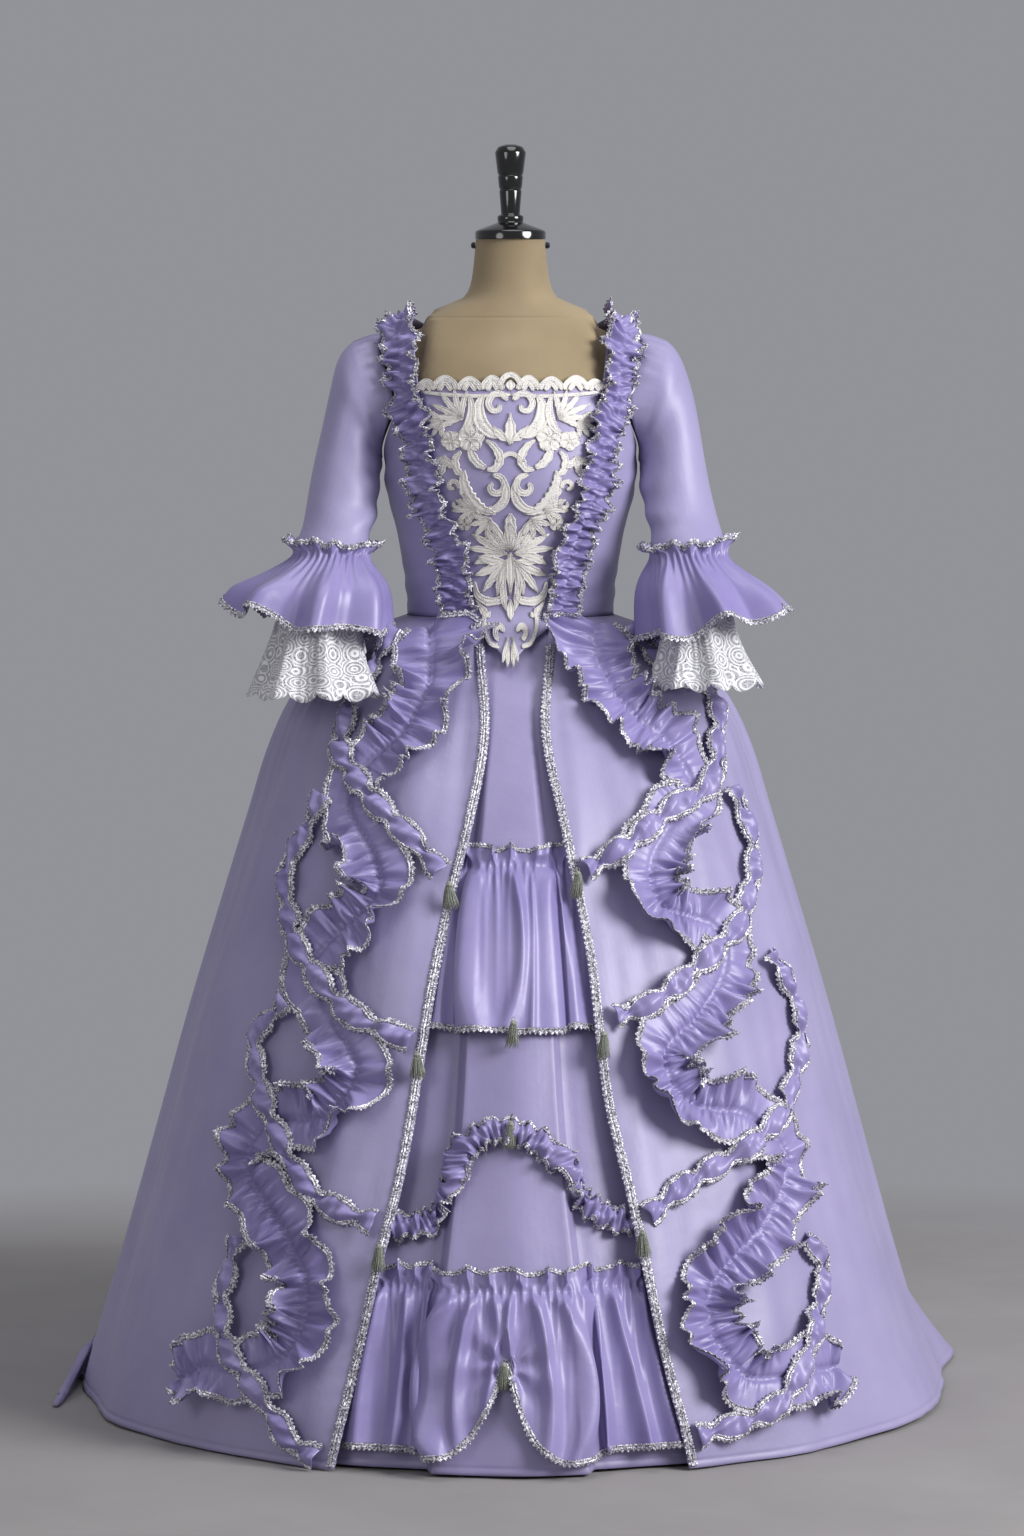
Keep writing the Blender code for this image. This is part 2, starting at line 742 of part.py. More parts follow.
def build_sleeve(name, side):
    sides = 14
    rings = [armhole_ring(sides, side)] + [sleeve_ring(row, sides, side) for row in SLEEVE]
    cloth(f"sleeve_{name}", rings, ring=True, flip=side > 0)
    flounce_x, flounce_half, lace_x, lace_half, lace_hem = (value * MM for value in CUFF[name])
    end = Vector((0.2285, -0.085, 1.083))
    waves, per_wave = 9, 4
    sides = waves * per_wave
    rings = [
        flared_ring(side, sides, Vector((flounce_x, -0.105, 0.999)), flounce_half, 0.088, 0.011, waves, 0.6),
        flared_ring(side, sides, Vector((0.241, -0.095, 1.045)), 0.075, 0.070, 0.006, waves, 0.4),
        flared_ring(side, sides, end + Vector((0, 0.001, 0.002)), 0.0494, 0.0494, 0.0004, waves, 0.0),
        flared_ring(side, sides, end + Vector((-0.002, 0.0125, 0.020)), 0.0565, 0.0565, 0.003, waves, 2.0),
    ]
    cloth(f"sleeve_flounce_{name}", rings, wall=THIN_WALL, ring=True)
    waves = 7
    sides = waves * per_wave
    rings = [
        flared_ring(side, sides, Vector((lace_x, -0.128, lace_hem)), lace_half, 0.070, 0.008, waves, 0.3),
        flared_ring(side, sides, Vector((0.243, -0.108, 0.985)), lace_half * 0.68, 0.056, 0.004, waves, 0.3),
        flared_ring(side, sides, end + Vector((0, 0, -0.0017)), 0.0458, 0.0458, 0.0, waves, 0.0),
    ]
    rings = [[off_skirt(point, 0.016) for point in ring] for ring in rings]
    cloth(f"sleeve_lace_{name}", rings, "lace", THIN_WALL, ring=True)


def ruffled_rows(surface, places, half_width, waves, height, pressed, rest=0.0028, rise=0.0022, narrow=0.0):
    """Three lines of points: a gathered middle and two edges that stand off in uneven waves."""
    frames = frames_along(surface, places)
    rows = [[], [], []]
    for i, (centre, across, bend) in enumerate(frames):
        phase = math.tau * waves * i / (len(frames) - 1)
        for row, side in enumerate((-1, 0, 1)):
            if side == 0:
                rows[row].append(surface.settle(centre, rise))
                continue
            swing = math.sin(phase + (0 if side > 0 else 2.2) + 0.5 * math.sin(phase / 5.3))
            full = half_width * (1 + 0.08 * math.cos(phase / 2.7)) - narrow * (1 - ease(phase / 16))
            width = room_at(bend, side, full)
            place = centre + across * side * width
            lift = rest + height * (0.5 + 0.5 * swing) * pressed(place)
            rows[row].append(surface.settle(place, lift))
    return rows


def build_robings():
    places = [(math.radians(turn), height * MM) for turn, height in smooth_route(ROBING)]
    stations, _ = even_places(bodice, places, ROBING_WAVES * 4 + 1)
    rows = ruffled_rows(
        bodice, stations, ROBING_HALF_WIDTH, ROBING_WAVES, 0.011, lambda place: 1.0, 0.0062, 0.0058, 0.008
    )
    cloth("robing_right", rows, wall=THIN_WALL, flip=True)
    left = [[Vector((-p.x, p.y, p.z)) for p in row] for row in rows]
    cloth("robing_left", left, wall=THIN_WALL)


SKIRT_HEIGHTS = (3.5, 60, 150, 300, 450, 600, 720, 810, 870, 910, 945, 970, 990, 1007.8)


def build_overskirt():
    for name, sign in (("left", -1), ("right", 1)):
        rows = []
        for height in SKIRT_HEIGHTS:
            height *= MM
            start, end = edge_turn[name](height), sign * (SIDE_SEAM + math.radians(2) - 0.0006)
            turns = [blend(start, end, i / 11) for i in range(12)]
            rows.append([(turn, height) for turn in sorted(turns)])
        surface_cloth(f"overskirt_{name}", skirt, rows)
    rows = []
    for height in SKIRT_HEIGHTS[:9] + (940, 975, 1007.8):
        height *= MM
        start, end = math.radians(90) + 0.0006, math.radians(270) - 0.0006
        rows.append([(blend(start, end, i / 22), height) for i in range(23)])
    surface_cloth("overskirt_back", skirt, rows)


def build_petticoat():
    rows = []
    for height in (3.5, 80, 180, 320, 460, 600, 720, 820, 900, 950, 985, 1005):
        height *= MM
        reach = skirt.size(height)[0] * 0.72
        fold = pleat(height)[0]
        shoulder = fold + PLEAT_SHOULDER
        left = [-reach, -blend(shoulder, reach, 0.5), -shoulder, -(fold + shoulder) / 2, -fold, -fold * 0.5]
        xs = [*left, 0.0, *(-x for x in left[::-1])]
        rows.append([(petticoat.at_x(x, height), height) for x in xs])
    surface_cloth("petticoat", petticoat, rows)


def flounce_rows(waves, lines, tuck, hem_lift=None):
    """Rows of a flounce over the petticoat, from hem to header, between the overskirt's edges."""
    rows = []
    count = waves * 4
    for line in lines:
        height, out, wave = (value * MM for value in line)
        left = skirt.size(height)[0] * math.sin(edge_turn["left"](height)) - tuck
        right = skirt.size(height)[0] * math.sin(edge_turn["right"](height)) + tuck
        row = []
        for i in range(count + 1):
            share = i / count
            x = blend(left, right, share)
            level = height + (hem_lift(x, height) if hem_lift else 0.0)
            phase = math.tau * waves * share + 0.6 * math.sin(math.tau * share * 2 + 0.5)
            shallow = 0.45 + 0.55 * math.sin(math.pi * share)
            lift = out + wave * shallow * (1 + math.sin(phase))
            row.append(petticoat.point(petticoat.at_x(x, level), level, lift))
        rows.append(row)
    return rows


def centre_lift(x, height):
    """The lower flounce's hem is caught up in the middle."""
    return 0.098 * math.exp(-((x + 0.004) / 0.034) ** 2) * ease((0.19 - height) / 0.16)


def build_flounces():
    cloth("petticoat_flounce_upper", flounce_rows(8, UPPER_FLOUNCE, 0.018), wall=THIN_WALL)
    cloth("petticoat_flounce_lower", flounce_rows(14, LOWER_FLOUNCE, 0.016, centre_lift), wall=THIN_WALL)


def strip_rows(surface, places, half_width, waves, low, puff, lift=None):
    """Two lines of points along a narrow puffed strip, its edges rising by turns."""
    frames = frames_along(surface, places)
    rows = [[], []]
    for i, (centre, across, bend) in enumerate(frames):
        phase = math.tau * waves * i / (len(frames) - 1)
        raised = lift(centre) if lift else 0.0
        for row, side in enumerate((-1, 1)):
            swing = 0.5 + 0.5 * math.sin(phase + side * 0.9 + 0.4 * math.sin(phase / 3.1))
            width = room_at(bend, side, half_width)
            rows[row].append(surface.settle(centre + across * side * width, low + puff * swing + raised))
    return rows


def build_festoon():
    places = [petticoat.seen(*row) for row in smooth_route(FESTOON)]
    stations, _ = even_places(petticoat, places, 49)
    rows = strip_rows(petticoat, stations, FESTOON_HALF_WIDTH, 14, 0.0085, 0.006)
    cloth("petticoat_festoon", rows, wall=THIN_WALL, flip=True)


def nearest(lines, place):
    return min((point - place).length for line in lines for point in line)


def build_skirt_trims(name, ruffle, bands):
    ruffle_places = [skirt.seen(*row) for row in smooth_route(ruffle)]
    ruffle_stations, _ = even_places(skirt, ruffle_places, RUFFLE_WAVES * 4 + 1)
    ruffle_line = [skirt.bare(*place) for place in ruffle_stations]
    band_stations = []
    for band in bands:
        places = [skirt.seen(*row) for row in smooth_route(band)]
        length = even_places(skirt, places, 2)[1]
        band_stations.append(even_places(skirt, places, max(12, round(length / 0.0185)))[0])
    band_lines = [[skirt.bare(*place) for place in stations] for stations in band_stations]

    def pressed(place):
        return 0.12 + 0.88 * ease((nearest(band_lines, place) - 0.026) / 0.03)

    def lift(place):
        return 0.0105 * (1 - ease((nearest([ruffle_line], place) - 0.046) / 0.02))

    rows = ruffled_rows(skirt, ruffle_stations, RUFFLE_HALF_WIDTH, RUFFLE_WAVES, 0.019, pressed)
    cloth(f"skirt_ruffle_{name}", rows, wall=THIN_WALL, flip=True)
    for number, stations in enumerate(band_stations, 1):
        low = HIP_BAND_LOW if number == 1 else BAND_LOW
        rows = strip_rows(skirt, stations, BAND_HALF_WIDTH, 5, low, 0.0045, lift)
        cloth(f"skirt_band_{name}_{number}", rows, wall=THIN_WALL, flip=True)


def build_braids():
    heights = [blend(0.006, 0.955, (i / 20) ** 0.9) for i in range(21)]
    for name, sign in (("left", -1), ("right", 1)):
        rows = []
        for height in heights:
            turn = edge_turn[name](height)
            width = BRAID_WIDTH / skirt.size(height)[0]
            pair = (turn + sign * 0.001, turn + sign * width)
            rows.append([skirt.point(t, height, 0.0018) for t in sorted(pair)])
        cloth(f"braid_{name}", rows, "braid", 0.0012)


def outer_face(name, surface, place):
    """Where a line straight in towards the surface first meets a piece, and the surface's normal."""
    tree = BVHTree.FromObject(bpy.data.objects[name], bpy.context.evaluated_depsgraph_get())
    normal = surface.normal(*place)
    reach = 0.08
    face = tree.ray_cast(surface.point(*place, reach), -normal)[0]
    return face or tree.find_nearest(surface.point(*place, 0.01))[0], normal


def build_tassel(name, carrier, surface, place, clear):
    """A small knotted head on its carrier, with strands that hang from the head's underside."""
    face, normal = outer_face(carrier, surface, place)
    below = surface.bare(place[0], place[1] - 0.028) - surface.bare(*place)
    top = face + normal * (TASSEL_HEAD + clear)
    down = below.normalized()
    side = down.cross(normal).normalized()
    front = side.cross(down)
    sides = 7

    def ring(depth, radius):
        angles = (math.tau * i / sides for i in range(sides))
        return [top + down * depth + (side * math.sin(a) + front * math.cos(a)) * radius for a in angles]

    rings = [ring(0.009, 0.9 * TASSEL_HEAD), ring(0.005, TASSEL_HEAD), ring(0.001, 0.5 * TASSEL_HEAD)]
    shape = grid_shape(rings, ring=True)
    shape.verts.ensure_lookup_table()
    shape.faces.new(shape.verts[-sides:])
    root = top + down * 0.009
    middle = shape.verts.new(root)
    shape.verts.ensure_lookup_table()
    fan = [shape.faces.new((shape.verts[(i + 1) % sides], shape.verts[i], middle)) for i in range(sides)]
    bmesh.ops.inset_individual(shape, faces=fan, thickness=SEAM)
    strands = bmesh.ops.extrude_discrete_faces(shape, faces=fan)["faces"]
    for i, strand in enumerate(strands):
        spread = (strand.calc_center_median() - root) * 0.4
        drop = down * (0.017 + 0.002 * math.sin(3.0 * i)) + spread
        bmesh.ops.translate(shape, verts=strand.verts, vec=drop)
    bmesh.ops.recalc_face_normals(shape, faces=shape.faces)
    add_object(name, shape, "tassel")


def build_tassels():
    bpy.context.view_layer.update()
    for number, (side, height) in enumerate(TASSELS_ON_EDGES, 1):
        turn = edge_turn[side](height * MM)
        inside = BRAID_WIDTH / 2 / skirt.size(height * MM)[0]
        place = turn + (inside if turn > 0 else -inside), height * MM
        build_tassel(f"tassel_edge_{number}", f"braid_{side}", skirt, place, 2 * SEAM)
    for number, (carrier, across, height) in enumerate(TASSELS_ON_TRIMS, 1):
        place = petticoat.at_x(across * MM, height * MM), height * MM
        build_tassel(f"tassel_petticoat_{number}", carrier, petticoat, place, 8 * SEAM)


def main():
    clear_scene()
    build_form()
    build_bodice()
    build_stomacher()
    build_lace()
    build_sleeve("left", -1)
    build_sleeve("right", 1)
    build_robings()
    build_overskirt()
    build_petticoat()
    build_flounces()
    build_festoon()
    build_skirt_trims("left", RUFFLE_LEFT, BANDS_LEFT)
    build_skirt_trims("right", RUFFLE_RIGHT, BANDS_RIGHT)
    build_braids()
    build_tassels()


main()
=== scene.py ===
import bisect
import math

import bpy
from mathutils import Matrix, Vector, noise


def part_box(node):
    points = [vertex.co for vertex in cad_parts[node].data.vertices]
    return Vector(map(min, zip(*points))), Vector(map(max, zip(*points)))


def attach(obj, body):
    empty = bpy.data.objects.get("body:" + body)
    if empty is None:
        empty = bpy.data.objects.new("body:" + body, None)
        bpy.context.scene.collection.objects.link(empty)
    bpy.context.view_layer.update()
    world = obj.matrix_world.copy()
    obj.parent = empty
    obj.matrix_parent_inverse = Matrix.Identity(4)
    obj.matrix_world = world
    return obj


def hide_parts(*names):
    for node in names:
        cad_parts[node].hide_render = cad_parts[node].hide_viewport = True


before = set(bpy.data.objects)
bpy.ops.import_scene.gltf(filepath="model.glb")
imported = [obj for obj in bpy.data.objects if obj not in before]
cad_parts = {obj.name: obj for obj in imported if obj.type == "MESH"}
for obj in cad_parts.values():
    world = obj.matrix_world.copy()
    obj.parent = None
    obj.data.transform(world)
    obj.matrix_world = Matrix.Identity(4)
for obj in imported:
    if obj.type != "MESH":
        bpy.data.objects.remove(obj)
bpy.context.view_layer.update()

MM = 0.001
# The studio: the floor's radius, how its pattern is scaled to thin out at its rim, and the wall's colour
FLOOR_RADIUS = 2.6
FLOOR_FADE = 0.385
WALL_GREY = "#929398"
# Lamps: place, aim and diameter in metres, and power in watts
LAMPS = (
    ("key_softbox", (3.9, -2.6, 2.9), (0, 0, 0.8), 2.6, 296),
    ("fill_softbox", (-2.6, -3.6, 2.2), (0, 0, 0.8), 1.8, 26),
    ("overhead_softbox", (0.2, -0.6, 3.6), (0, 0, 0.6), 1.8, 22),
)
# The camera: metres from the gown, metres up, degrees down, and millimetres of lens
VIEW_DISTANCE = 6.5
EYE_HEIGHT = 1.343
VIEW_DOWN = 4.70
LENS = 118.1

# Heights and places on the gown in metres, and the side seam's turn and gap in radians
WAIST = 1.0082
SKIRT_TOP = 1.0078
ARMPIT = 1.2155
SHOULDER_TIP = 1.368
NECK_CORNER = 1.3905
BACK_NECK = 1.352
FRONT_NECK = 1.305
NECK_HALF = 0.122
STOMACHER_POINT = 0.944
STOMACHER_SIDE = 1.002
BODICE_OUT = 0.005
SIDE_GAP = 0.003
SIDE_SEAM = math.radians(88)
TRAIN_SPREAD = 0.045
TRAIN_SWEEP = 0.33

# Tables are in millimetres from the middle and the floor, unless they say otherwise.
# The form's own surface: height, half width, front depth, back depth
BODY = (
    (1492, 44, 40, 50), (1440, 49.5, 44, 57), (1417, 58, 48, 64), (1405, 84, 52, 70),
    (1392, 116, 56, 76), (1380, 139, 61, 82), (1366, 157, 68, 88), (1345, 165, 80, 94),
    (1300, 163, 98, 99), (1250, 158, 115, 102), (1187, 157, 123, 101), (1106, 139.5, 105, 93),
    (1030, 129, 93, 85), (1005, 128, 92, 85), (950, 146, 100, 100), (880, 165, 110, 118),
    (815, 163, 108, 122),
)
# The overskirt's outer face: height, half width, front depth, back depth
SKIRT = (
    (1008, 134, 98, 92), (992, 178, 108, 116), (970, 212, 123, 140), (945, 242, 141, 168),
    (900, 284, 178, 218), (836, 314, 226, 272), (758, 338, 276, 324), (650, 371, 335, 384),
    (500, 416, 398, 452), (340, 460, 460, 520), (190, 502, 515, 588), (83, 534, 545, 672),
    (0, 557, 562, 850),
)
PETTICOAT_INSET = ((1010, 4.4), (980, 6), (930, 12), (860, 21), (700, 30), (0, 30))
PLEAT = (
    (1010, 14, 0), (900, 20, 3), (800, 30, 9), (640, 46, 19), (400, 60, 23), (140, 86, 24), (0, 94, 24),
)
PLEAT_SHOULDER = 0.014
STOMACHER_WIDTH = (
    (1391, 122), (1343, 118), (1300, 113), (1244, 104), (1197, 98), (1149, 89), (1095, 73), (1005, 60),
)
# The overskirt's front edges as seen: across, up
EDGE_RIGHT = ((46, 966), (40, 864), (66, 732), (98, 582), (123, 388), (154, 245), (193, 65), (238, -114))
EDGE_LEFT = (
    (-34, 973), (-28, 864), (-47, 753), (-77, 635), (-107, 474), (-137, 291), (-175, 134), (-233, -119),
)
# The sleeve: inner x, inner z, outer x, outer z, half depth, middle y
SLEEVE = (
    (164.5, 1212, 189, 1368, 57, 10), (165, 1208, 217, 1343, 57, 8), (165.5, 1203, 233, 1295, 56, 4),
    (166.5, 1188, 249, 1216, 53, -12), (170, 1149, 263, 1140, 49, -40), (179, 1113, 272, 1106, 47, -66),
    (181.5, 1083, 275.5, 1083, 47, -85),
)
# The sleeve's trims by side: the flounce's hem x, its half width there and halfway up,
# then the lace's hem x, half width and height
CUFF = {"left": (255, 100, 88, 243, 83, 908), "right": (262, 90, 77, 251, 70, 921)}
# The robing's middle line: turn in degrees, height
ROBING = (
    (114, 1371), (90, 1384), (68, 1372), (55.5, 1343), (54.5, 1288), (46.5, 1244), (43, 1197),
    (40, 1149), (33, 1095), (31, 1040), (29, 1011),
)
# The wide ruffles' gathered middle lines as seen: across, up
RUFFLES = {
    "right": (
        (108, 990), (116, 938), (155, 877), (197, 843), (232, 778), (198, 722), (179, 670),
        (199, 625), (256, 603), (275, 557), (246, 491), (199, 431), (233, 370), (305, 353),
        (355, 294), (324, 210), (264, 135), (262, 70), (308, 10), (376, 16), (425, 23),
    ),
    "left": (
        (-103, 986), (-105, 914), (-138, 852), (-186, 805), (-203, 753), (-175, 694),
        (-169, 642), (-215, 596), (-255, 540), (-219, 466), (-197, 408), (-241, 352),
        (-310, 343), (-338, 284), (-294, 206), (-262, 129), (-281, 48), (-338, 19), (-393, 24), (-429, 5),
    ),
}
# The narrow bands' arcs as seen, from the outside to the front edge: across, up
BANDS = {
    "right": (
        ((149, 982), (179, 956), (210, 938), (246, 919), (267, 869), (249, 782), (205, 753), (147, 704),
         (97, 675)),
        ((285, 783), (312, 704), (301, 625), (258, 569), (189, 505), (136, 484)),
        ((334, 568), (371, 491), (363, 388), (301, 312), (231, 266), (178, 222)),
        ((384, 194), (408, 152), (388, 68), (338, -30), (244, -70)),
    ),
    "left": (
        ((-146, 980), (-172, 947), (-206, 890), (-215, 831), (-176, 766), (-119, 705), (-89, 672)),
        ((-234, 768), (-284, 687), (-285, 612), (-246, 536), (-195, 481), (-128, 452)),
        ((-282, 503), (-331, 452), (-303, 349), (-266, 266), (-224, 231), (-176, 213)),
        ((-353, 194), (-373, 117), (-359, 43), (-321, -16), (-286, -75), (-251, -98)),
    ),
}
FESTOON = (
    (-161, 206), (-136, 208), (-103, 217), (-72, 260), (-58, 308), (-20, 332), (29, 322), (71, 281),
    (98, 239), (140, 217), (165, 212),
)
# The petticoat's flounces from hem to header: height, distance off the petticoat, half a wave's depth
UPPER_FLOUNCE = ((514, 4.5, 8), (610, 4, 6), (706.5, 2.75, 0.6), (730, 4.5, 2.5))
LOWER_FLOUNCE = ((29, 5, 8), (120, 4.5, 6), (213.5, 4, 0.6), (239, 5, 2.5))
# The turned neck cap and knob: height, radius
CAP = (
    (1489.5, 45.5), (1499, 45.5), (1501, 43), (1506, 30), (1511, 16), (1514, 16.8),
    (1519, 16.8), (1521, 12), (1551, 14.4), (1553, 13.2), (1555, 14.8), (1569, 16.2),
    (1571, 15), (1573, 16.6), (1600, 20), (1607, 16), (1610, 8),
)

# Folds of the flounces: place across at gather, middle and hem, as shares of the width;
# half width and height at gather, then at hem, in millimetres
UPPER_FOLDS = (
    (0.10, 0.09, 0.10, 7, 7, 12, 12), (0.25, 0.23, 0.33, 6, 9, 18, 14), (0.47, 0.55, 0.46, 5, 10, 11, 7),
    (0.62, 0.61, 0.60, 3, 3, 5, 6), (0.76, 0.81, 0.83, 8, 9, 18, 14), (0.93, 0.97, 0.99, 5, 4, 8, 8),
)
LOWER_FOLDS = (
    (0.05, 0.05, 0.07, 7, 9, 12, 15), (0.14, 0.16, 0.17, 6, 7, 10, 13), (0.23, 0.23, 0.24, 5, 5, 8, 10),
    (0.33, 0.25, 0.31, 7, 12, 12, 16), (0.39, 0.34, 0.36, 6, 11, 10, 7), (0.45, 0.46, 0.43, 5, 9, 9, 6),
    (0.50, 0.49, 0.51, 4, 8, 8, 5), (0.57, 0.61, 0.59, 6, 11, 12, 13), (0.65, 0.71, 0.66, 6, 10, 10, 12),
    (0.74, 0.77, 0.75, 6, 9, 11, 15), (0.84, 0.87, 0.88, 6, 9, 11, 15), (0.95, 0.95, 0.96, 6, 7, 10, 12),
)
# Places where a ruffle's edge rolls up and back: share of its length, side, how far
CURLS = {
    "right": (
        (0.03, 1, 0.5), (0.085, -1, 0.8), (0.15, 1, 0.55), (0.205, -1, 0.95), (0.235, -1, 0.7),
        (0.31, 1, 0.5), (0.37, -1, 0.7), (0.43, 1, 0.9), (0.47, -1, 0.6), (0.53, 1, 0.6),
        (0.575, 1, 0.9), (0.63, -1, 0.7),
        (0.69, -1, 0.8), (0.745, 1, 0.6), (0.80, -1, 0.8), (0.86, 1, 0.75), (0.91, -1, 0.6), (0.96, 1, 0.7),
    ),
    "left": (
        (0.04, -1, 0.5), (0.10, 1, 0.75), (0.165, -1, 0.85), (0.19, 1, 0.6), (0.25, 1, 0.8), (0.32, -1, 0.6),
        (0.38, 1, 0.9), (0.44, -1, 0.7), (0.49, 1, 0.6), (0.55, -1, 0.95), (0.60, 1, 0.65), (0.655, -1, 0.7),
        (0.71, 1, 0.85), (0.77, -1, 0.6), (0.83, 1, 0.8), (0.88, -1, 0.9), (0.925, 1, 0.95), (0.97, -1, 0.6),
    ),
}

# Trims: half widths in metres, counts of waves, and the walls of the cloths in metres
RUFFLE_HALF_WIDTH = 0.043
RUFFLE_WAVES = 22
CURL_REACH = 0.021
ROBING_HALF_WIDTH = 0.023
ROBING_WAVES = 13
BAND_HALF_WIDTH = 0.012
SATIN_WALL = 0.0012
RUCHED_WALL = 0.0008
LACE_WALL = 0.0007


def blend(a, b, share):
    return a + (b - a) * share


def ease(share):
    """0 to 1 with a soft start and end."""
    share = min(1.0, max(0.0, share))
    return share * share * (3 - 2 * share)


def bell(away, width):
    """1 at the middle, falling away smoothly on both sides."""
    return math.exp(-((away / width) ** 2))


def mirrored(rows):
    """The rows on the other side of the middle."""
    return [[Vector((-p.x, p.y, p.z)) for p in row] for row in rows]


def gentle_slopes(keys, values):
    """A slope at each key that never lets the curve overshoot its rows."""
    steps = [(b - a) / (y - x) for x, y, a, b in zip(keys, keys[1:], values, values[1:])]
    inner = [0.0 if p * q <= 0 else 2 * p * q / (p + q) for p, q in zip(steps, steps[1:])]
    return [steps[0], *inner, steps[-1]]


def columns_at(rows, scale=MM):
    """A function of a table's first column that gives its other columns, smoothly."""
    rows = sorted(tuple(value * scale for value in row) for row in rows)
    keys = [row[0] for row in rows]
    columns = list(zip(*rows))[1:]
    slopes = [gentle_slopes(keys, column) for column in columns]

    def at(key):
        key = min(max(key, keys[0]), keys[-1])
        i = max(0, min(bisect.bisect_right(keys, key), len(keys) - 1) - 1)
        span = keys[i + 1] - keys[i]
        t = (key - keys[i]) / span
        near, far = (1 + 2 * t) * (1 - t) ** 2, t * t * (3 - 2 * t)
        leave, arrive = t * (1 - t) ** 2 * span, t * t * (t - 1) * span
        return [
            near * column[i] + far * column[i + 1] + leave * slope[i] + arrive * slope[i + 1]
            for column, slope in zip(columns, slopes)
        ]

    return at


class Surface:
    """A form with its own half width, front depth and back depth at each height."""

    def __init__(self, rows, swell=None, sweep=None):
        self.size = columns_at(rows)
        self.swell = swell or (lambda turn, height: 0.0)
        self.sweep = sweep or (lambda turn, height: 0.0)

    def bare(self, turn, height):
        half, front, back = self.size(height)
        swell = self.swell(turn, height)
        depth = front if math.cos(turn) > 0 else back
        across = (half + swell) * math.sin(turn)
        return Vector((across, -(depth + swell) * math.cos(turn) - self.sweep(turn, height), height))

    def normal(self, turn, height):
        across = self.bare(turn + 0.02, height) - self.bare(turn - 0.02, height)
        up = self.bare(turn, height + 0.003) - self.bare(turn, height - 0.003)
        return across.cross(up).normalized()

    def point(self, turn, height, out=0.0):
        return self.bare(turn, height) + self.normal(turn, height) * out

    def place(self, point):
        """The turn and height of a point near the surface."""
        half, front, back = self.size(point.z)
        depth = front if point.y < 0 else back
        return math.atan2(point.x / half, -point.y / depth), point.z

    def settle(self, point, out):
        return self.point(*self.place(point), out)

    def at_x(self, x, height):
        half = self.size(height)[0]
        return math.asin(max(-1.0, min(1.0, x / half)))

    def seen(self, across, up):
        """The turn and height that a viewer in front sees there, both given in millimetres."""
        near, turn, height = VIEW_DISTANCE, 0.0, up * MM
        for _ in range(25):
            share = near / VIEW_DISTANCE
            height = EYE_HEIGHT - (EYE_HEIGHT - up * MM) * share
            turn = self.at_x(across * MM * share, height)
            front = self.size(height)[1] + self.swell(turn, height)
            near = VIEW_DISTANCE - front * math.cos(turn)
        return turn, height


def past_side(turn):
    """How far behind the side a turn is, in degrees."""
    return math.degrees(abs(math.remainder(turn, math.tau))) - 90


def train_spread(turn, height):
    return TRAIN_SPREAD * ease(past_side(turn) / 14) * max(0.0, 1 - height / 0.22) ** 2


def train_sweep(turn, height):
    """How far the train's left corner is swept forward over the floor."""
    if math.sin(turn) > 0:
        return 0.0
    bump = bell(past_side(turn) - 11, 5.5) * ease(past_side(turn) / 6)
    return TRAIN_SWEEP * bump * max(0.0, 1 - height / 0.09) ** 1.5


def waist_gathers(turn, height):
    """Small gathers below the waist seam that die out over the hips, fewer in front."""
    near_waist = ease((1.006 - height) / 0.02) * ease((height - 0.86) / 0.12)
    behind = blend(0.25, 1.0, ease((past_side(turn) + 40) / 30))
    wave = math.sin(46 * turn + 1.3 * math.sin(5 * turn)) + 0.5 * math.sin(71 * turn)
    return 0.0022 * near_waist * behind * wave


def skirt_folds(turn, height):
    """Soft uneven folds that deepen towards the hem, deeper behind, and the train's spread."""
    low = 1 - min(1.0, height / 0.95)
    behind = ease((abs(math.remainder(turn, math.tau)) - SIDE_SEAM) / 0.5)
    wave = 0.6 * math.sin(11 * turn + 0.7) + 0.4 * math.sin(17 * turn + 2.1)
    return wave * low * blend(0.004, 0.017, behind) + train_spread(turn, height)


def pleat_at(turn, height):
    half, depth = pleat(height)
    x = abs(skirt_size(height)[0] * math.sin(turn))
    return depth * (1 - ease((x - half) / PLEAT_SHOULDER))


def petticoat_swell(turn, height):
    ripple = 0.003 * math.sin(13 * turn + 1.0) * (1 - height)
    return pleat_at(turn, height) + ripple - petticoat_inset(height)[0]


skirt_size = columns_at(SKIRT)
petticoat_inset = columns_at(PETTICOAT_INSET)
pleat = columns_at(PLEAT)
stomacher_width = columns_at(STOMACHER_WIDTH)
body = Surface(BODY)
bodice = Surface(BODY, lambda turn, height: BODICE_OUT)
skirt = Surface(SKIRT, skirt_folds, train_sweep)
gathered_skirt = Surface(
    SKIRT, lambda turn, height: skirt_folds(turn, height) + waist_gathers(turn, height), train_sweep
)
petticoat = Surface(SKIRT, petticoat_swell)


def edge_line(rows):
    """The turn of an overskirt's front edge at a height."""
    places = [skirt.seen(*row) for row in rows]
    top = (SKIRT_TOP + 0.002, skirt.at_x(rows[0][0] * MM, SKIRT_TOP))
    table = [(height, turn) for turn, height in places] + [top]
    line = columns_at(table, 1.0)
    return lambda height: line(height)[0]


edge_turn = {"left": edge_line(EDGE_LEFT), "right": edge_line(EDGE_RIGHT)}


def smooth_route(rows, per_span=10):
    """Places along a smooth line through a table's rows."""
    rows = [Vector(row) for row in rows]
    padded = [rows[0] * 2 - rows[1], *rows, rows[-1] * 2 - rows[-2]]
    line = []
    for a, b, c, d in zip(padded, padded[1:], padded[2:], padded[3:]):
        for step in range(per_span):
            t = step / per_span
            square, cube = 2 * a - 5 * b + 4 * c - d, 3 * b - 3 * c + d - a
            line.append((2 * b + (c - a) * t + square * t**2 + cube * t**3) / 2)
    return [*line, rows[-1]]


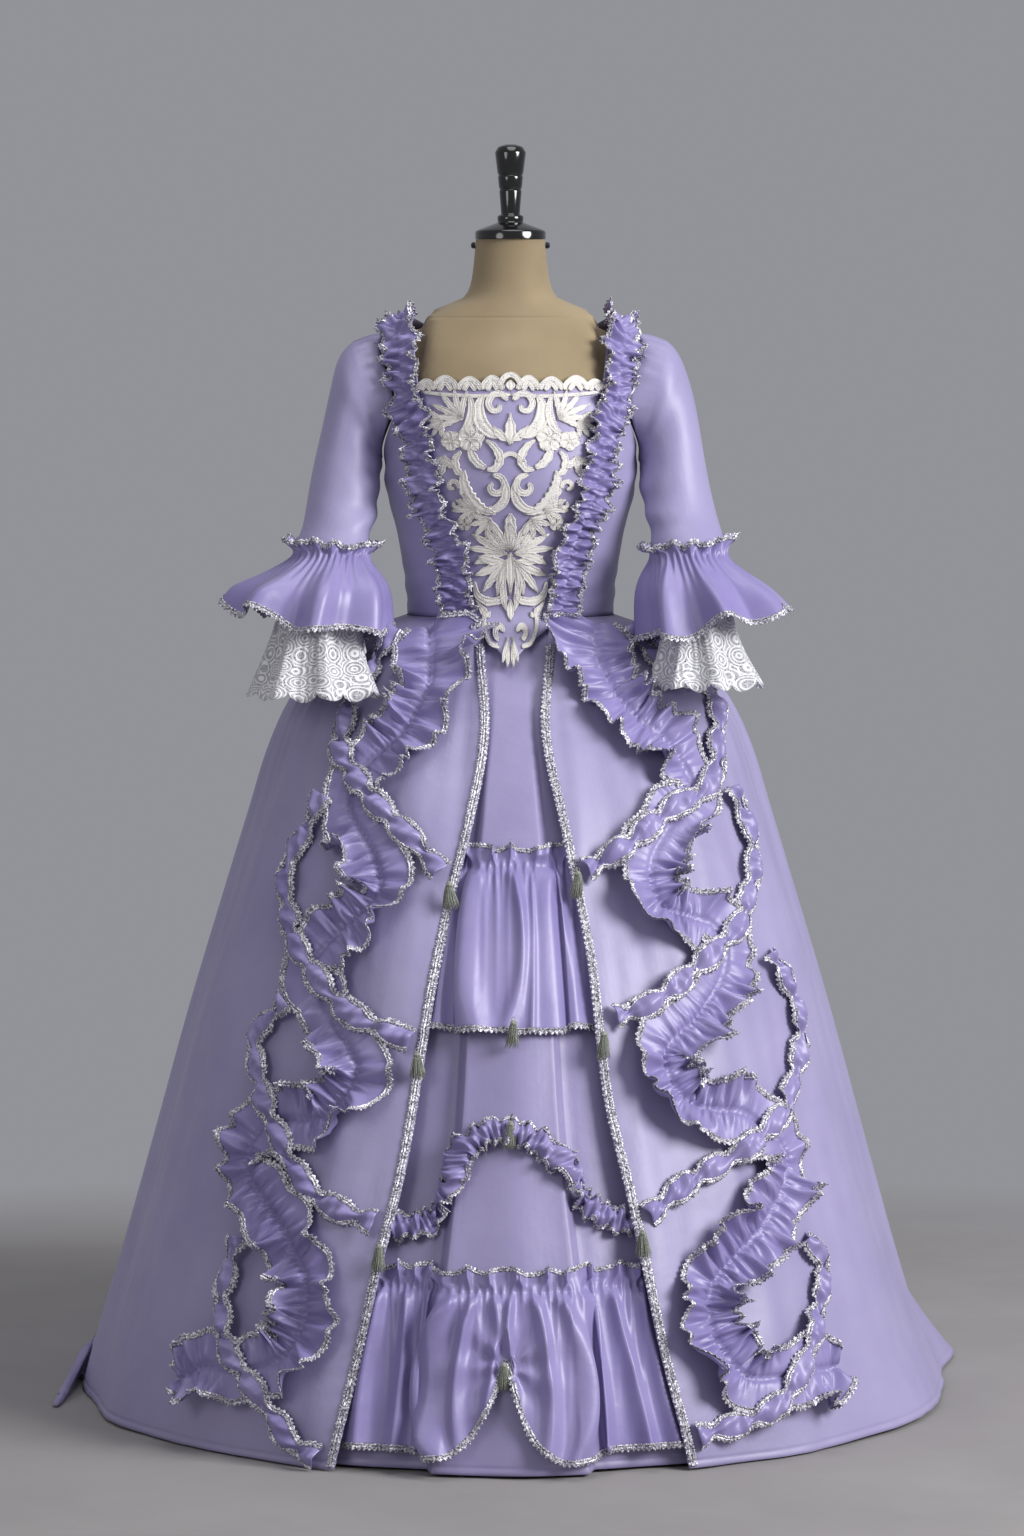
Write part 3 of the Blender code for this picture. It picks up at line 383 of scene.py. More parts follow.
def even_places(surface, places, count):
    """This many places, evenly spaced along a line of turns and heights."""
    points = [surface.bare(*place) for place in places]
    travelled = [0.0]
    for a, b in zip(points, points[1:]):
        travelled.append(travelled[-1] + (b - a).length)
    chosen = []
    for i in range(count):
        want = travelled[-1] * i / (count - 1)
        k = max(1, min(bisect.bisect_left(travelled, want), len(points) - 1))
        t = (want - travelled[k - 1]) / max(1e-9, travelled[k] - travelled[k - 1])
        chosen.append(tuple(blend(a, b, t) for a, b in zip(places[k - 1], places[k])))
    return chosen, travelled[-1]


def frames_along(surface, places):
    """Each place's point, direction across the line, and the line's bend there."""
    points = [surface.bare(*place) for place in places]
    frames = []
    for i, place in enumerate(places):
        before, after = points[max(0, i - 2)], points[min(len(points) - 1, i + 2)]
        along = (after - before).normalized()
        across = along.cross(surface.normal(*place)).normalized()
        frames.append([points[i], across, along, 0.0])
    for i in range(2, len(points) - 2):
        turned = (points[i + 2] - points[i]).normalized() - (points[i] - points[i - 2]).normalized()
        frames[i][3] = turned.dot(frames[i][1]) / (points[i + 2] - points[i]).length
    return frames


def room_at(bend, side, half_width):
    """The width that fits inside a bend without the cloth crossing itself."""
    inward = bend * side
    return half_width if inward * half_width < 0.7 else 0.7 / inward


def linear(code):
    """A hex colour, as a screen shows it, turned into the linear light that shaders take."""
    parts = (int(code[i : i + 2], 16) / 255 for i in (1, 3, 5))
    return (*(c / 12.92 if c <= 0.04045 else ((c + 0.055) / 1.055) ** 2.4 for c in parts), 1.0)


def add_node(material, kind, settings=(), links=()):
    """A node with its properties, its sockets' values and its incoming links."""
    tree = material.node_tree
    made = tree.nodes.new(kind)
    for name, value in dict(settings).items():
        if hasattr(made, name) and not name[0].isupper():
            setattr(made, name, value)
        else:
            made.inputs[int(name) if name.isdigit() else name].default_value = value
    for name, source in dict(links).items():
        tree.links.new(source, made.inputs[int(name) if name.isdigit() else name])
    return made


def new_material(name, **sockets):
    """A material whose even values sit on the shader's own sockets."""
    material = bpy.data.materials.new(name)
    material.use_nodes = True
    shader = material.node_tree.nodes["Principled BSDF"]
    for socket, value in sockets.items():
        shader.inputs[socket.replace("_", " ")].default_value = value
    return material, shader


def colour_ramp(material, source, stops):
    ramp = add_node(material, "ShaderNodeValToRGB", (), {"Fac": source})
    elements = ramp.color_ramp.elements
    while len(elements) < len(stops):
        elements.new(0.5)
    for element, (place, code) in zip(elements, stops):
        element.position = place
        element.color = linear(code)
    return ramp.outputs["Color"]


def link(material, source, target):
    material.node_tree.links.new(source, target)


def tint(material, shader, source, stops):
    """Colours the surface by a pattern's values."""
    link(material, colour_ramp(material, source, stops), shader.inputs["Base Color"])


def satin_material(name, light, deep, roughness=0.46):
    """Duchess satin: a close warp-faced weave with broad soft highlights and a faint lengthwise grain."""
    material, shader = new_material(
        name, Roughness=roughness, Specular_IOR_Level=0.6, Sheen_Weight=0.22, Sheen_Roughness=0.45,
        Sheen_Tint=linear("#d9d2f0"),
    )
    place = add_node(material, "ShaderNodeTexCoord").outputs["Object"]
    patches = add_node(
        material, "ShaderNodeTexNoise", {"Scale": 7.0, "Detail": 3.0, "Roughness": 0.55}, {"Vector": place}
    ).outputs["Fac"]
    tint(material, shader, patches, ((0.3, deep), (0.7, light)))
    uv = add_node(material, "ShaderNodeTexCoord").outputs["UV"]
    # threads are 0.12 mm apart; drawn 1.1 mm apart so that they show at all
    threads = add_node(
        material, "ShaderNodeTexWave",
        {"bands_direction": "X", "Scale": 45.0, "Distortion": 0.6, "Detail": 1.0}, {"Vector": uv},
    ).outputs["Fac"]
    # handling marks a few centimetres long
    soft = add_node(
        material, "ShaderNodeTexNoise", {"Scale": 22.0, "Detail": 4.0, "Roughness": 0.5}, {"Vector": place}
    ).outputs["Fac"]
    grain = add_node(
        material, "ShaderNodeBump", {"Strength": 0.035, "Distance": 0.0006}, {"Height": threads}
    ).outputs["Normal"]
    crumple = add_node(
        material, "ShaderNodeBump", {"Strength": 0.3, "Distance": 0.005}, {"Height": soft, "Normal": grain}
    ).outputs["Normal"]
    link(material, crumple, shader.inputs["Normal"])
    return material


def picot_material():
    """Silver picot braid: metallic yarn looped over grey thread, in dark grey to white specks, the whitest of
    them painted glints.
    """
    material, shader = new_material("silver_lurex_braid", Roughness=0.38, Metallic=0.35)
    place = add_node(material, "ShaderNodeTexCoord").outputs["Object"]
    # loops of yarn 2 mm across
    specks = add_node(
        material, "ShaderNodeTexNoise", {"Scale": 420.0, "Detail": 2.0, "Roughness": 0.7}, {"Vector": place}
    ).outputs["Fac"]
    # the darker tones are the grey thread and the silver yarn; the near-white top tone is a painted glint
    tones = ((0.36, "#4b4854"), (0.46, "#8a8792"), (0.54, "#c4c1cb"), (0.63, "#f4f2f7"))
    tint(material, shader, specks, tones)
    bump = add_node(material, "ShaderNodeBump", {"Strength": 0.6, "Distance": 0.0015}, {"Height": specks})
    link(material, bump.outputs["Normal"], shader.inputs["Normal"])
    return material


def guipure_material():
    """White corded guipure lace: matt cotton with fine stitches raised across each leaf."""
    material, shader = new_material("white_guipure_lace", Roughness=0.72, Sheen_Weight=0.3)
    place = add_node(material, "ShaderNodeTexCoord").outputs["Object"]
    stitches = add_node(
        material, "ShaderNodeTexVoronoi", {"Scale": 1300.0, "Randomness": 0.8}, {"Vector": place}
    ).outputs["Distance"]
    # the thread is painted darker towards the edges of each stitch, as shade between the raised stitches
    thread_with_painted_shade = colour_ramp(material, stitches, ((0.0, "#f1eee8"), (0.5, "#e0dcd6"), (0.85, "#bab6b6")))
    # open cells 2.3 mm apart, in parts of the leaves
    cells = add_node(
        material, "ShaderNodeTexVoronoi", {"Scale": 430.0, "Randomness": 0.45}, {"Vector": place}
    ).outputs[0]
    hole = add_node(
        material, "ShaderNodeMath", {"operation": "LESS_THAN", "1": 0.29}, {"0": cells}
    ).outputs[0]
    parts = add_node(
        material, "ShaderNodeTexNoise", {"Scale": 44.0, "Detail": 0.0}, {"Vector": place}
    ).outputs[0]
    netted = add_node(
        material, "ShaderNodeMath", {"operation": "GREATER_THAN", "1": 0.52}, {"0": parts}
    ).outputs[0]
    share = add_node(
        material, "ShaderNodeMath", {"operation": "MULTIPLY"}, {"0": hole, "1": netted}
    ).outputs[0]
    colour = add_node(
        material, "ShaderNodeMix", {"data_type": "RGBA", "7": linear("#85809c")}, {"0": share, "6": thread_with_painted_shade}
    ).outputs[2]
    link(material, colour, shader.inputs["Base Color"])
    bump = add_node(material, "ShaderNodeBump", {"Strength": 0.3, "Distance": 0.0004}, {"Height": stitches})
    link(material, bump.outputs["Normal"], shader.inputs["Normal"])
    return material


def net_lace_material():
    """White net lace: a fine open ground with rings and scallops worked solid in thicker thread."""
    material, shader = new_material("white_net_lace", Roughness=0.75, Sheen_Weight=0.2)
    uv = add_node(material, "ShaderNodeTexCoord").outputs["UV"]
    # the ground's holes are 2.4 mm across
    ground = add_node(
        material, "ShaderNodeTexVoronoi", {"feature": "DISTANCE_TO_EDGE", "Scale": 450.0}, {"Vector": uv}
    ).outputs["Distance"]
    mesh = add_node(
        material, "ShaderNodeMath", {"operation": "LESS_THAN", "1": 0.13}, {"0": ground}
    ).outputs["Value"]
    # the worked rings are 22 mm apart
    cells = add_node(
        material, "ShaderNodeTexVoronoi", {"Scale": 46.0, "Randomness": 0.5}, {"Vector": uv}
    ).outputs["Distance"]
    phase = add_node(
        material, "ShaderNodeMath", {"operation": "MULTIPLY", "1": 38.0}, {"0": cells}
    ).outputs[0]
    rings = add_node(material, "ShaderNodeMath", {"operation": "SINE"}, {"0": phase}).outputs["Value"]
    worked = add_node(
        material, "ShaderNodeMath", {"operation": "GREATER_THAN", "1": 0.35}, {"0": rings}
    ).outputs["Value"]
    solid = add_node(
        material, "ShaderNodeMath", {"operation": "MAXIMUM"}, {"0": mesh, "1": worked}
    ).outputs["Value"]
    held = add_node(
        material, "ShaderNodeMapRange", {"3": 0.12, "4": 1.0}, {"0": solid}
    ).outputs["Result"]
    link(material, held, shader.inputs["Alpha"])
    tint(material, shader, worked, ((0.0, "#c6c5cc"), (1.0, "#efeef1")))
    bump = add_node(material, "ShaderNodeBump", {"Strength": 0.5, "Distance": 0.001}, {"Height": worked})
    link(material, bump.outputs["Normal"], shader.inputs["Normal"])
    return material


def linen_material():
    """Unbleached linen stretched over the form: a plain weave with slubs and a faint yellowing."""
    material, shader = new_material("tan_linen", Roughness=0.88, Sheen_Weight=0.15)
    place = add_node(material, "ShaderNodeTexCoord").outputs["Object"]
    wide = add_node(
        material, "ShaderNodeTexNoise", {"Scale": 9.0, "Detail": 4.0}, {"Vector": place}
    ).outputs["Fac"]
    tint(material, shader, wide, ((0.3, "#86765b"), (0.7, "#98876b")))
    # threads 0.6 mm apart, with slubs
    stretched = add_node(
        material, "ShaderNodeMapping", {"Scale": (1.0, 1.0, 4.0)}, {"Vector": place}
    ).outputs["Vector"]
    weave = add_node(
        material, "ShaderNodeTexNoise", {"Scale": 520.0, "Detail": 2.0}, {"Vector": stretched}
    ).outputs["Fac"]
    bump = add_node(material, "ShaderNodeBump", {"Strength": 0.25, "Distance": 0.0008}, {"Height": weave})
    link(material, bump.outputs["Normal"], shader.inputs["Normal"])
    return material


def lacquer_material():
    """Turned beech under black gloss lacquer: near mirror-smooth, with a slight ripple from the brush."""
    material, shader = new_material(
        "black_lacquered_beech", Base_Color=linear("#0b0b0d"), Roughness=0.13,
        Coat_Weight=0.6, Coat_Roughness=0.06,
    )
    place = add_node(material, "ShaderNodeTexCoord").outputs["Object"]
    ripple = add_node(material, "ShaderNodeTexNoise", {"Scale": 60.0, "Detail": 2.0}, {"Vector": place})
    bump = add_node(
        material, "ShaderNodeBump", {"Strength": 0.05, "Distance": 0.001}, {"Height": ripple.outputs["Fac"]}
    )
    link(material, bump.outputs["Normal"], shader.inputs["Normal"])
    return material


def iron_material():
    """Cast iron under black paint: a low sheen with a faint sand texture from the mould."""
    material, shader = new_material("black_painted_iron", Roughness=0.45, Metallic=0.2)
    place = add_node(material, "ShaderNodeTexCoord").outputs["Object"]
    sand = add_node(
        material, "ShaderNodeTexNoise", {"Scale": 260.0, "Detail": 3.0}, {"Vector": place}
    ).outputs["Fac"]
    tint(material, shader, sand, ((0.35, "#1b1b1d"), (0.65, "#2a2a2d")))
    bump = add_node(material, "ShaderNodeBump", {"Strength": 0.3, "Distance": 0.0008}, {"Height": sand})
    link(material, bump.outputs["Normal"], shader.inputs["Normal"])
    return material


def steel_material():
    """Blued steel screws, satin finished."""
    material, shader = new_material("blued_steel", Roughness=0.3, Metallic=1.0)
    place = add_node(material, "ShaderNodeTexCoord").outputs["Object"]
    brushed = add_node(material, "ShaderNodeTexNoise", {"Scale": 900.0}, {"Vector": place}).outputs["Fac"]
    tint(material, shader, brushed, ((0.35, "#2d2e33"), (0.65, "#4a4b52")))
    return material


def tassel_material():
    """Viscose tassel thread in grey-green: silky strands, lighter where they part."""
    material, shader = new_material("grey_viscose_thread", Roughness=0.5, Sheen_Weight=0.3)
    place = add_node(material, "ShaderNodeTexCoord").outputs["Object"]
    strands = add_node(
        material, "ShaderNodeTexNoise", {"Scale": 500.0, "Detail": 2.0}, {"Vector": place}
    ).outputs["Fac"]
    tint(material, shader, strands, ((0.35, "#6f7469"), (0.65, "#a3a79b")))
    return material


def floor_material():
    """Pale painted concrete, matt, with faint scuffs; it thins out towards its rim."""
    material, shader = new_material("pale_studio_floor", Roughness=0.85, Specular_IOR_Level=0.2)
    place = add_node(material, "ShaderNodeTexCoord").outputs["Object"]
    scuffs = add_node(
        material, "ShaderNodeTexNoise", {"Scale": 2.2, "Detail": 6.0, "Roughness": 0.6}, {"Vector": place}
    ).outputs["Fac"]
    tint(material, shader, scuffs, ((0.3, "#8f8c8c"), (0.7, "#9b9898")))
    shrunk = add_node(
        material, "ShaderNodeMapping", {"Scale": (FLOOR_FADE,) * 3}, {"Vector": place}
    ).outputs["Vector"]
    fade = add_node(
        material, "ShaderNodeTexGradient", {"gradient_type": "SPHERICAL"}, {"Vector": shrunk}
    ).outputs["Fac"]
    held = add_node(material, "ShaderNodeMapRange", {"1": 0.0, "2": 0.22}, {"0": fade}).outputs["Result"]
    link(material, held, shader.inputs["Alpha"])
    return material


SATIN = satin_material("lilac_duchess_satin", "#9b94b8", "#8f88af", 0.48)
PETTICOAT_SATIN = satin_material("lilac_petticoat_satin", "#968eb5", "#8a82ab")
# The trims are cut from the gown's own satin, made glossier; their darker colours are painted shade for the
# deep gathered folds
SHADED_TRIM_SATIN = satin_material("lilac_trim_satin_painted_shade", "#938ab8", "#7f75aa", 0.41)
PICOT = picot_material()
GUIPURE = guipure_material()
NET_LACE = net_lace_material()
LINEN = linen_material()
LACQUER = lacquer_material()
IRON = iron_material()
STEEL = steel_material()
THREAD = tassel_material()
FLOOR = floor_material()


def add_piece(name, mesh, material, replaced=()):
    """A finished mesh put into the scene on the gown's one body."""
    mesh.materials.append(material)
    made = bpy.data.objects.new(name, mesh)
    bpy.context.scene.collection.objects.link(made)
    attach(made, "root")
    if replaced:
        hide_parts(*replaced)
    return made


def new_mesh(name, points, faces, smooth=True):
    mesh = bpy.data.meshes.new(name)
    mesh.from_pydata(points, [], faces)
    if smooth:
        mesh.shade_smooth()
    mesh.update()
    return mesh


def grid_faces(width, height, start, wrap=False):
    """Four-sided faces over points laid in rows of one width, the last row joined to the first if wrapped."""
    faces = []
    for r in range(height if wrap else height - 1):
        low, high = start + r * width, start + (r + 1) % height * width
        faces += [(low + c, low + c + 1, high + c + 1, high + c) for c in range(width - 1)]
    return faces


def grid_mesh(name, rows, ring=False, flip=False):
    """A sheet through rows of points, with its own length and height along the cloth as UVs, in metres."""
    count = len(rows[0])
    middle = rows[len(rows) // 2]
    along = [0.0]
    for c in range(count if ring else count - 1):
        along.append(along[-1] + (middle[(c + 1) % count] - middle[c]).length)
    up = [0.0]
    for low, high in zip(rows, rows[1:]):
        up.append(up[-1] + (high[count // 2] - low[count // 2]).length)
    points = [tuple(point) for row in rows for point in row]
    faces, uvs = [], []
    for r in range(len(rows) - 1):
        for c in range(count if ring else count - 1):
            after = (c + 1) % count
            corners = [(r, c, c), (r, after, c + 1), (r + 1, after, c + 1), (r + 1, c, c)]
            if flip:
                corners.reverse()
            faces.append([row * count + column for row, column, _ in corners])
            uvs += [(along[place], up[row]) for row, _, place in corners]
    mesh = new_mesh(name, points, faces)
    for corner, uv in zip(mesh.uv_layers.new(name="cloth").data, uvs):
        corner.uv = uv
    return mesh


def thicken(made, wall, offset=-1.0):
    solidify = made.modifiers.new("cloth_thickness", "SOLIDIFY")
    solidify.thickness = wall
    solidify.offset = offset
    return made


def cloth(name, rows, replaced, material=None, slot="lilac_satin", wall=SATIN_WALL, **how):
    """A thin sheet through rows of points, in place of the nodes that it replaces."""
    made = add_piece(name, grid_mesh(name, rows, **how), material or SATIN, replaced)
    return thicken(made, wall)


def above_floor(point):
    return Vector((point.x, point.y, max(0.002, point.z)))


def resampled(line, inner, step, ring=False):
    """The edge line and the line just inside it, at even steps along the edge."""
    if ring:
        line, inner = [*line, line[0]], [*inner, inner[0]]
    travelled = [0.0]
    for a, b in zip(line, line[1:]):
        travelled.append(travelled[-1] + (b - a).length)
    count = 2 * max(2, round(travelled[-1] / step / 2))
    pairs = []
    k = 1
    for i in range(count + (0 if ring else 1)):
        want = travelled[-1] * i / count
        while k < len(line) - 1 and travelled[k] < want:
            k += 1
        t = (want - travelled[k - 1]) / max(1e-9, travelled[k] - travelled[k - 1])
        pairs.append((line[k - 1].lerp(line[k], t), inner[k - 1].lerp(inner[k], t)))
    return pairs


# The braid's cross-section: distance past the cloth's edge, height off the cloth
PICOT_SECTION = ((-4.8, 0.3), (-3.5, 1.7), (-1.7, 0.6), (0.0, 1.6))
PICOT_STEP = 0.0036
picot_rows = []


def picot(line, inner, ring=False, face=1.0, scale=1.0):
    """Looped braid sewn along an edge: two raised cords with a row of small points outside them."""
    pairs = resampled(line, inner, PICOT_STEP * scale, ring)
    count = len(pairs)
    made = []
    for i, (edge, inside) in enumerate(pairs):
        before = pairs[(i - 1) % count if ring else max(0, i - 1)][0]
        after = pairs[(i + 1) % count if ring else min(count - 1, i + 1)][0]
        along = (after - before).normalized()
        out = edge - inside
        out = (out - along * out.dot(along)).normalized()
        normal = out.cross(along).normalized() * face
        wobble = 0.25 * math.sin(2.4 * i)
        tip = 4.3 if i % 2 else 1.3
        section = [*PICOT_SECTION, (tip + wobble, 0.7)]
        made.append([above_floor(edge + (out * o + normal * h) * MM * scale) for o, h in section])
    picot_rows.append((made, ring))


def build_picots(name, carrier):
    """All the braid sewn to one piece of cloth, as one piece."""
    points, faces = [], []
    for made, ring in picot_rows:
        faces += grid_faces(len(made[0]), len(made), len(points), ring)
        points += [tuple(point) for row in made for point in row]
    picot_rows.clear()
    made = add_piece(name, new_mesh(name, points, faces, smooth=False), PICOT)
    trims.setdefault(carrier, []).append(made)
    return thicken(made, 0.0009, 0.0)


trims = {}


def turned_piece(name, profile, sides, material, replaced):
    """A turned form: a ring of points drawn up and resized through the heights and radii of its profile."""
    bpy.ops.object.select_all(action="DESELECT")
    start, radius = (value * MM for value in profile[0])
    bpy.ops.mesh.primitive_circle_add(vertices=sides, radius=radius, fill_type="NGON", location=(0, 0, start))
    made = bpy.context.active_object
    bpy.ops.object.transform_apply(location=True, rotation=False, scale=False)
    bpy.ops.object.mode_set(mode="EDIT")
    bpy.ops.mesh.select_all(action="SELECT")
    for (low, near), (high, far) in zip(profile, profile[1:]):
        bpy.ops.mesh.extrude_region_move(TRANSFORM_OT_translate={"value": (0, 0, (high - low) * MM)})
        ratio = far / near
        bpy.ops.transform.resize(value=(ratio, ratio, 1.0), center_override=(0, 0, high * MM))
    bpy.ops.mesh.select_all(action="SELECT")
    bpy.ops.mesh.normals_make_consistent(inside=False)
    bpy.ops.object.mode_set(mode="OBJECT")
    bpy.ops.object.shade_smooth_by_angle(angle=math.radians(35))
    made.name = name
    made.data.name = name
    made.data.materials.append(material)
    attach(made, "root")
    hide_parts(*replaced)
    return made


def rounded(profile, step=1.0):
    """The profile with each sharp corner cut by a small slope, so that it catches the light."""
    made = [profile[0]]
    for before, here, after in zip(profile, profile[1:], profile[2:]):
        for other in (before, after):
            gap = math.dist(here, other)
            share = min(0.3, step / gap)
            made.append((here[0] + (other[0] - here[0]) * share, here[1] + (other[1] - here[1]) * share))
    return [*made, profile[-1]]


# The form's torso, bottom to top, and the seam round the base of its neck
TORSO_LOW = 820
TORSO_TOP = 1489
NECK_SEAM = 1389.0


def build_form():
    rows = []
    seam = [NECK_SEAM + step for step in (-2.5, -1.1, 0.0, 1.1, 2.5)]
    heights = sorted([blend(TORSO_LOW, TORSO_TOP, i / 90) for i in range(91)] + seam)
    for height in heights:
        dent = -0.0011 * bell(height - NECK_SEAM, 1.0)
        ring = [form_point(math.tau * i / 96, height * MM) for i in range(96)]
        rows.append([p + Vector((p.x, p.y, 0)).normalized() * dent for p in ring])
    rows.insert(0, [point * 0.4 + Vector((0, 0, 0.82 * 0.6)) for point in rows[0]])
    mesh = grid_mesh("form_torso_linen", rows, ring=True)
    made = add_piece("form_torso_linen", mesh, LINEN, ["form_torso"])
    turned_piece("form_cap_turned", rounded(CAP), 64, LACQUER, ["form_cap"])
    turned_piece("form_pole_turned", ((56.3, 16), (819.7, 16)), 32, LACQUER, ["form_pole"])
    base = rounded(((0, 188), (2, 190), (10, 190), (17, 178), (24, 60), (50, 32), (56, 22)))
    turned_piece("form_base_cast", base, 72, IRON, ["form_base"])
    return made


def form_point(turn, height):
    """The form's surface, smaller where the gown hides it."""
    point = body.bare(turn, height)
    beside_neck = ease((abs(point.x) - 0.102) / 0.02)
    top = FRONT_NECK if point.y < 0 else back_neck(point.x)
    hidden = max(beside_neck, ease((top - 0.006 - height) / 0.02)) if height > 1.25 else 1.0
    depth = blend(0.007, 0.015, ease((height - 1.32) / 0.03)) * ease((1.41 - height) / 0.02)
    return body.point(turn, height, -depth * hidden)


def back_neck(x):
    """The height of the back neckline at a distance from the middle."""
    return BACK_NECK + (NECK_CORNER - BACK_NECK) * min(1.0, abs(x) / NECK_HALF) ** 2


def patch(left, right, low, high, across, up):
    """Rows of places between four edges, each a function of 0 to 1 that gives a turn and height."""
    corners = [[low(0), low(1)], [high(0), high(1)]]
    rows = []
    for j in range(up + 1):
        v = j / up
        row = []
        for i in range(across + 1):
            u = i / across
            place = []
            for k in range(2):
                edges = blend(low(u)[k], high(u)[k], v) + blend(left(v)[k], right(v)[k], u)
                bottom = blend(corners[0][0][k], corners[0][1][k], u)
                top = blend(corners[1][0][k], corners[1][1][k], u)
                place.append(edges - blend(bottom, top, v))
            row.append(tuple(place))
        rows.append(row)
    return rows


def armhole_turn(height, dip):
    """How far round from the side the armhole lies at a height."""
    share = (height - ARMPIT) / (SHOULDER_TIP - ARMPIT)
    return math.radians(90) - math.radians(dip) * math.sin(math.pi * min(1.0, max(0.0, share)))


def bodice_crease(turn, height):
    """Soft drag lines: level ones above the waist and slanting ones from the armhole."""
    waist = 0.0011 * math.sin(height * 210 + 2.2 * math.sin(3 * turn)) * ease((1.09 - height) / 0.05)
    under_arm = bell(height - 1.19, 0.04) * ease((math.degrees(abs(turn)) - 50) / 30)
    slant = 0.0012 * math.sin(height * 160 - 9 * turn)
    return waist * ease((height - 1.012) / 0.02) + slant * under_arm


def bodice_rows(places, sign):
    rows = [
        [bodice.point(turn, height, bodice_crease(sign * turn, height)) for turn, height in row]
        for row in places
    ]
    if sign < 0:
        rows = mirrored([row[::-1] for row in rows])
    return rows


def build_bodice():
    side_turn = math.radians(90) - SIDE_GAP

    def seam(v):
        height = blend(WAIST, NECK_CORNER, v)
        return min(side_turn, bodice.at_x(stomacher_width(height)[0], height) + 0.004), height

    def outer(v):
        return armhole_turn(blend(WAIST, SHOULDER_TIP, v), 28) - SIDE_GAP, blend(WAIST, SHOULDER_TIP, v)

    def ridge(u):
        return side_turn, blend(NECK_CORNER, SHOULDER_TIP, u)

    def waist(u):
        return blend(seam(0)[0], side_turn, u), WAIST

    def back_outer(v):
        height = blend(WAIST, SHOULDER_TIP, v)
        return math.pi - armhole_turn(height, 30) + SIDE_GAP, height

    def centre(v):
        return math.pi - 0.002, blend(WAIST, BACK_NECK, v)

    def back_waist(u):
        return blend(math.pi - side_turn, math.pi - 0.002, u), WAIST

    def back_top(u):
        """The shoulder seam, then the curve of the back neck."""
        if u < 0.34:
            return math.pi - side_turn, blend(SHOULDER_TIP, NECK_CORNER, u / 0.34)
        x = NECK_HALF * (1 - u) / 0.66
        height = back_neck(x)
        return min(math.pi - 0.002, math.pi - min(side_turn, bodice.at_x(x, height))), height

    front = patch(seam, outer, waist, ridge, 18, 56)
    back = patch(back_outer, centre, back_waist, back_top, 30, 56)
    for side, sign in (("right", 1), ("left", -1)):
        cloth(f"satin_bodice_front_{side}", bodice_rows(front, sign), [f"bodice_front_{side}"])
        cloth(f"satin_bodice_back_{side}", bodice_rows(back, sign), [f"bodice_back_{side}"])


def stomacher_point(x, height, out):
    """On the bodice, easing out to lie over the skirt's top below the waist."""
    on_bodice = bodice.point(bodice.at_x(x, height), height, out)
    on_skirt = skirt.point(skirt.at_x(x, min(height, 1.008)), height, out + 0.0035)
    return on_bodice.lerp(on_skirt, ease((1.024 - height) / 0.02))


def build_stomacher():
    across, up = 30, 60
    rows = []
    for j in range(up + 1):
        row = []
        for i in range(across + 1):
            u = 2 * i / across - 1
            height = blend(blend(STOMACHER_POINT, STOMACHER_SIDE, abs(u) ** 0.72), FRONT_NECK, j / up)
            half = stomacher_width(max(height, STOMACHER_SIDE))[0] - 0.0009
            row.append(stomacher_point(u * half, height, 0.0))
        rows.append(row)
    cloth("satin_stomacher", rows, ["stomacher"])


def sleeve_ring(row, sides, side, crease=None):
    inner_x, inner_z, outer_x, outer_z, depth, middle_y = (value * MM for value in row)
    centre = Vector(((inner_x + outer_x) / 2, middle_y, (inner_z + outer_z) / 2))
    reach = Vector(((outer_x - inner_x) / 2, 0, (outer_z - inner_z) / 2))
    ring = []
    for i in range(sides):
        angle = math.tau * i / sides
        grow = 1 + (crease(angle) if crease else 0.0) / depth
        point = centre + (reach * math.cos(angle) + Vector((0, depth * math.sin(angle), 0))) * grow
        ring.append(Vector((side * point.x, point.y, point.z)))
    return ring


def armhole_ring(sides, side):
    """The sleeve's first ring, just outside the bodice's armhole."""
    ring = []
    middle, half = (ARMPIT + SHOULDER_TIP) / 2, (SHOULDER_TIP - ARMPIT) / 2
    for i in range(sides):
        angle = math.tau * i / sides
        height = middle + half * math.cos(angle)
        front = math.sin(angle) < 0
        turn = armhole_turn(height, 26 if front else 28)
        turn = turn if front else math.pi - turn
        point = bodice.point(turn, height, 0.0011 + 0.0022 * max(0.0, -math.cos(angle)))
        ring.append(Vector((side * point.x, point.y, point.z)))
    return ring


def sleeve_crease(share, side):
    """Small gathers at the head, soft slanting folds inside the elbow and level ones above the cuff."""

    def crease(angle):
        head = bell(share, 0.07) * ease((math.cos(angle) - 0.1) / 0.5)
        gathers = 0.0026 * head * math.sin(26 * angle + 0.9)
        bend = bell(share - 0.66, 0.16) * ease((0.6 - math.cos(angle)) / 1.2)
        folds = 0.0022 * bend * math.sin(38 * share + 1.6 * math.cos(angle + 0.7 * side))
        arm_folds = 0.0012 * math.sin(17 * share + 2.0 * math.sin(angle + side)) * ease(share / 0.3)
        return gathers + folds + arm_folds * ease((1.0 - share) / 0.1)

    return crease


def flared_ring(side, sides, row, count, shift, fine=0.0):
    """A level ring round a sleeve's end, standing in and out in uneven waves."""
    x, y, z, half, depth, wave = row
    ring = []
    for i in range(sides):
        angle = math.tau * i / sides
        swing = wave * ridge(count * angle + shift + 0.7 * math.sin(2 * angle))
        swing += fine * math.sin(5 * count * angle + 2.3 * math.sin(3 * angle) + shift)
        across = x * side + (half + swing) * math.sin(angle)
        ring.append(Vector((across, y - (depth + swing) * math.cos(angle), z + 0.25 * swing)))
    return ring


def off_skirt(point, gap):
    """The point, or the nearest place level with it that clears the skirt."""
    half, front, back = skirt.size(point.z)
    depth = front if point.y < 0 else back
    reach = math.hypot(point.x / half, point.y / depth)
    wanted = 1 + gap / min(half, depth)
    if reach >= wanted:
        return point
    return Vector((point.x * wanted / reach, point.y * wanted / reach, point.z))


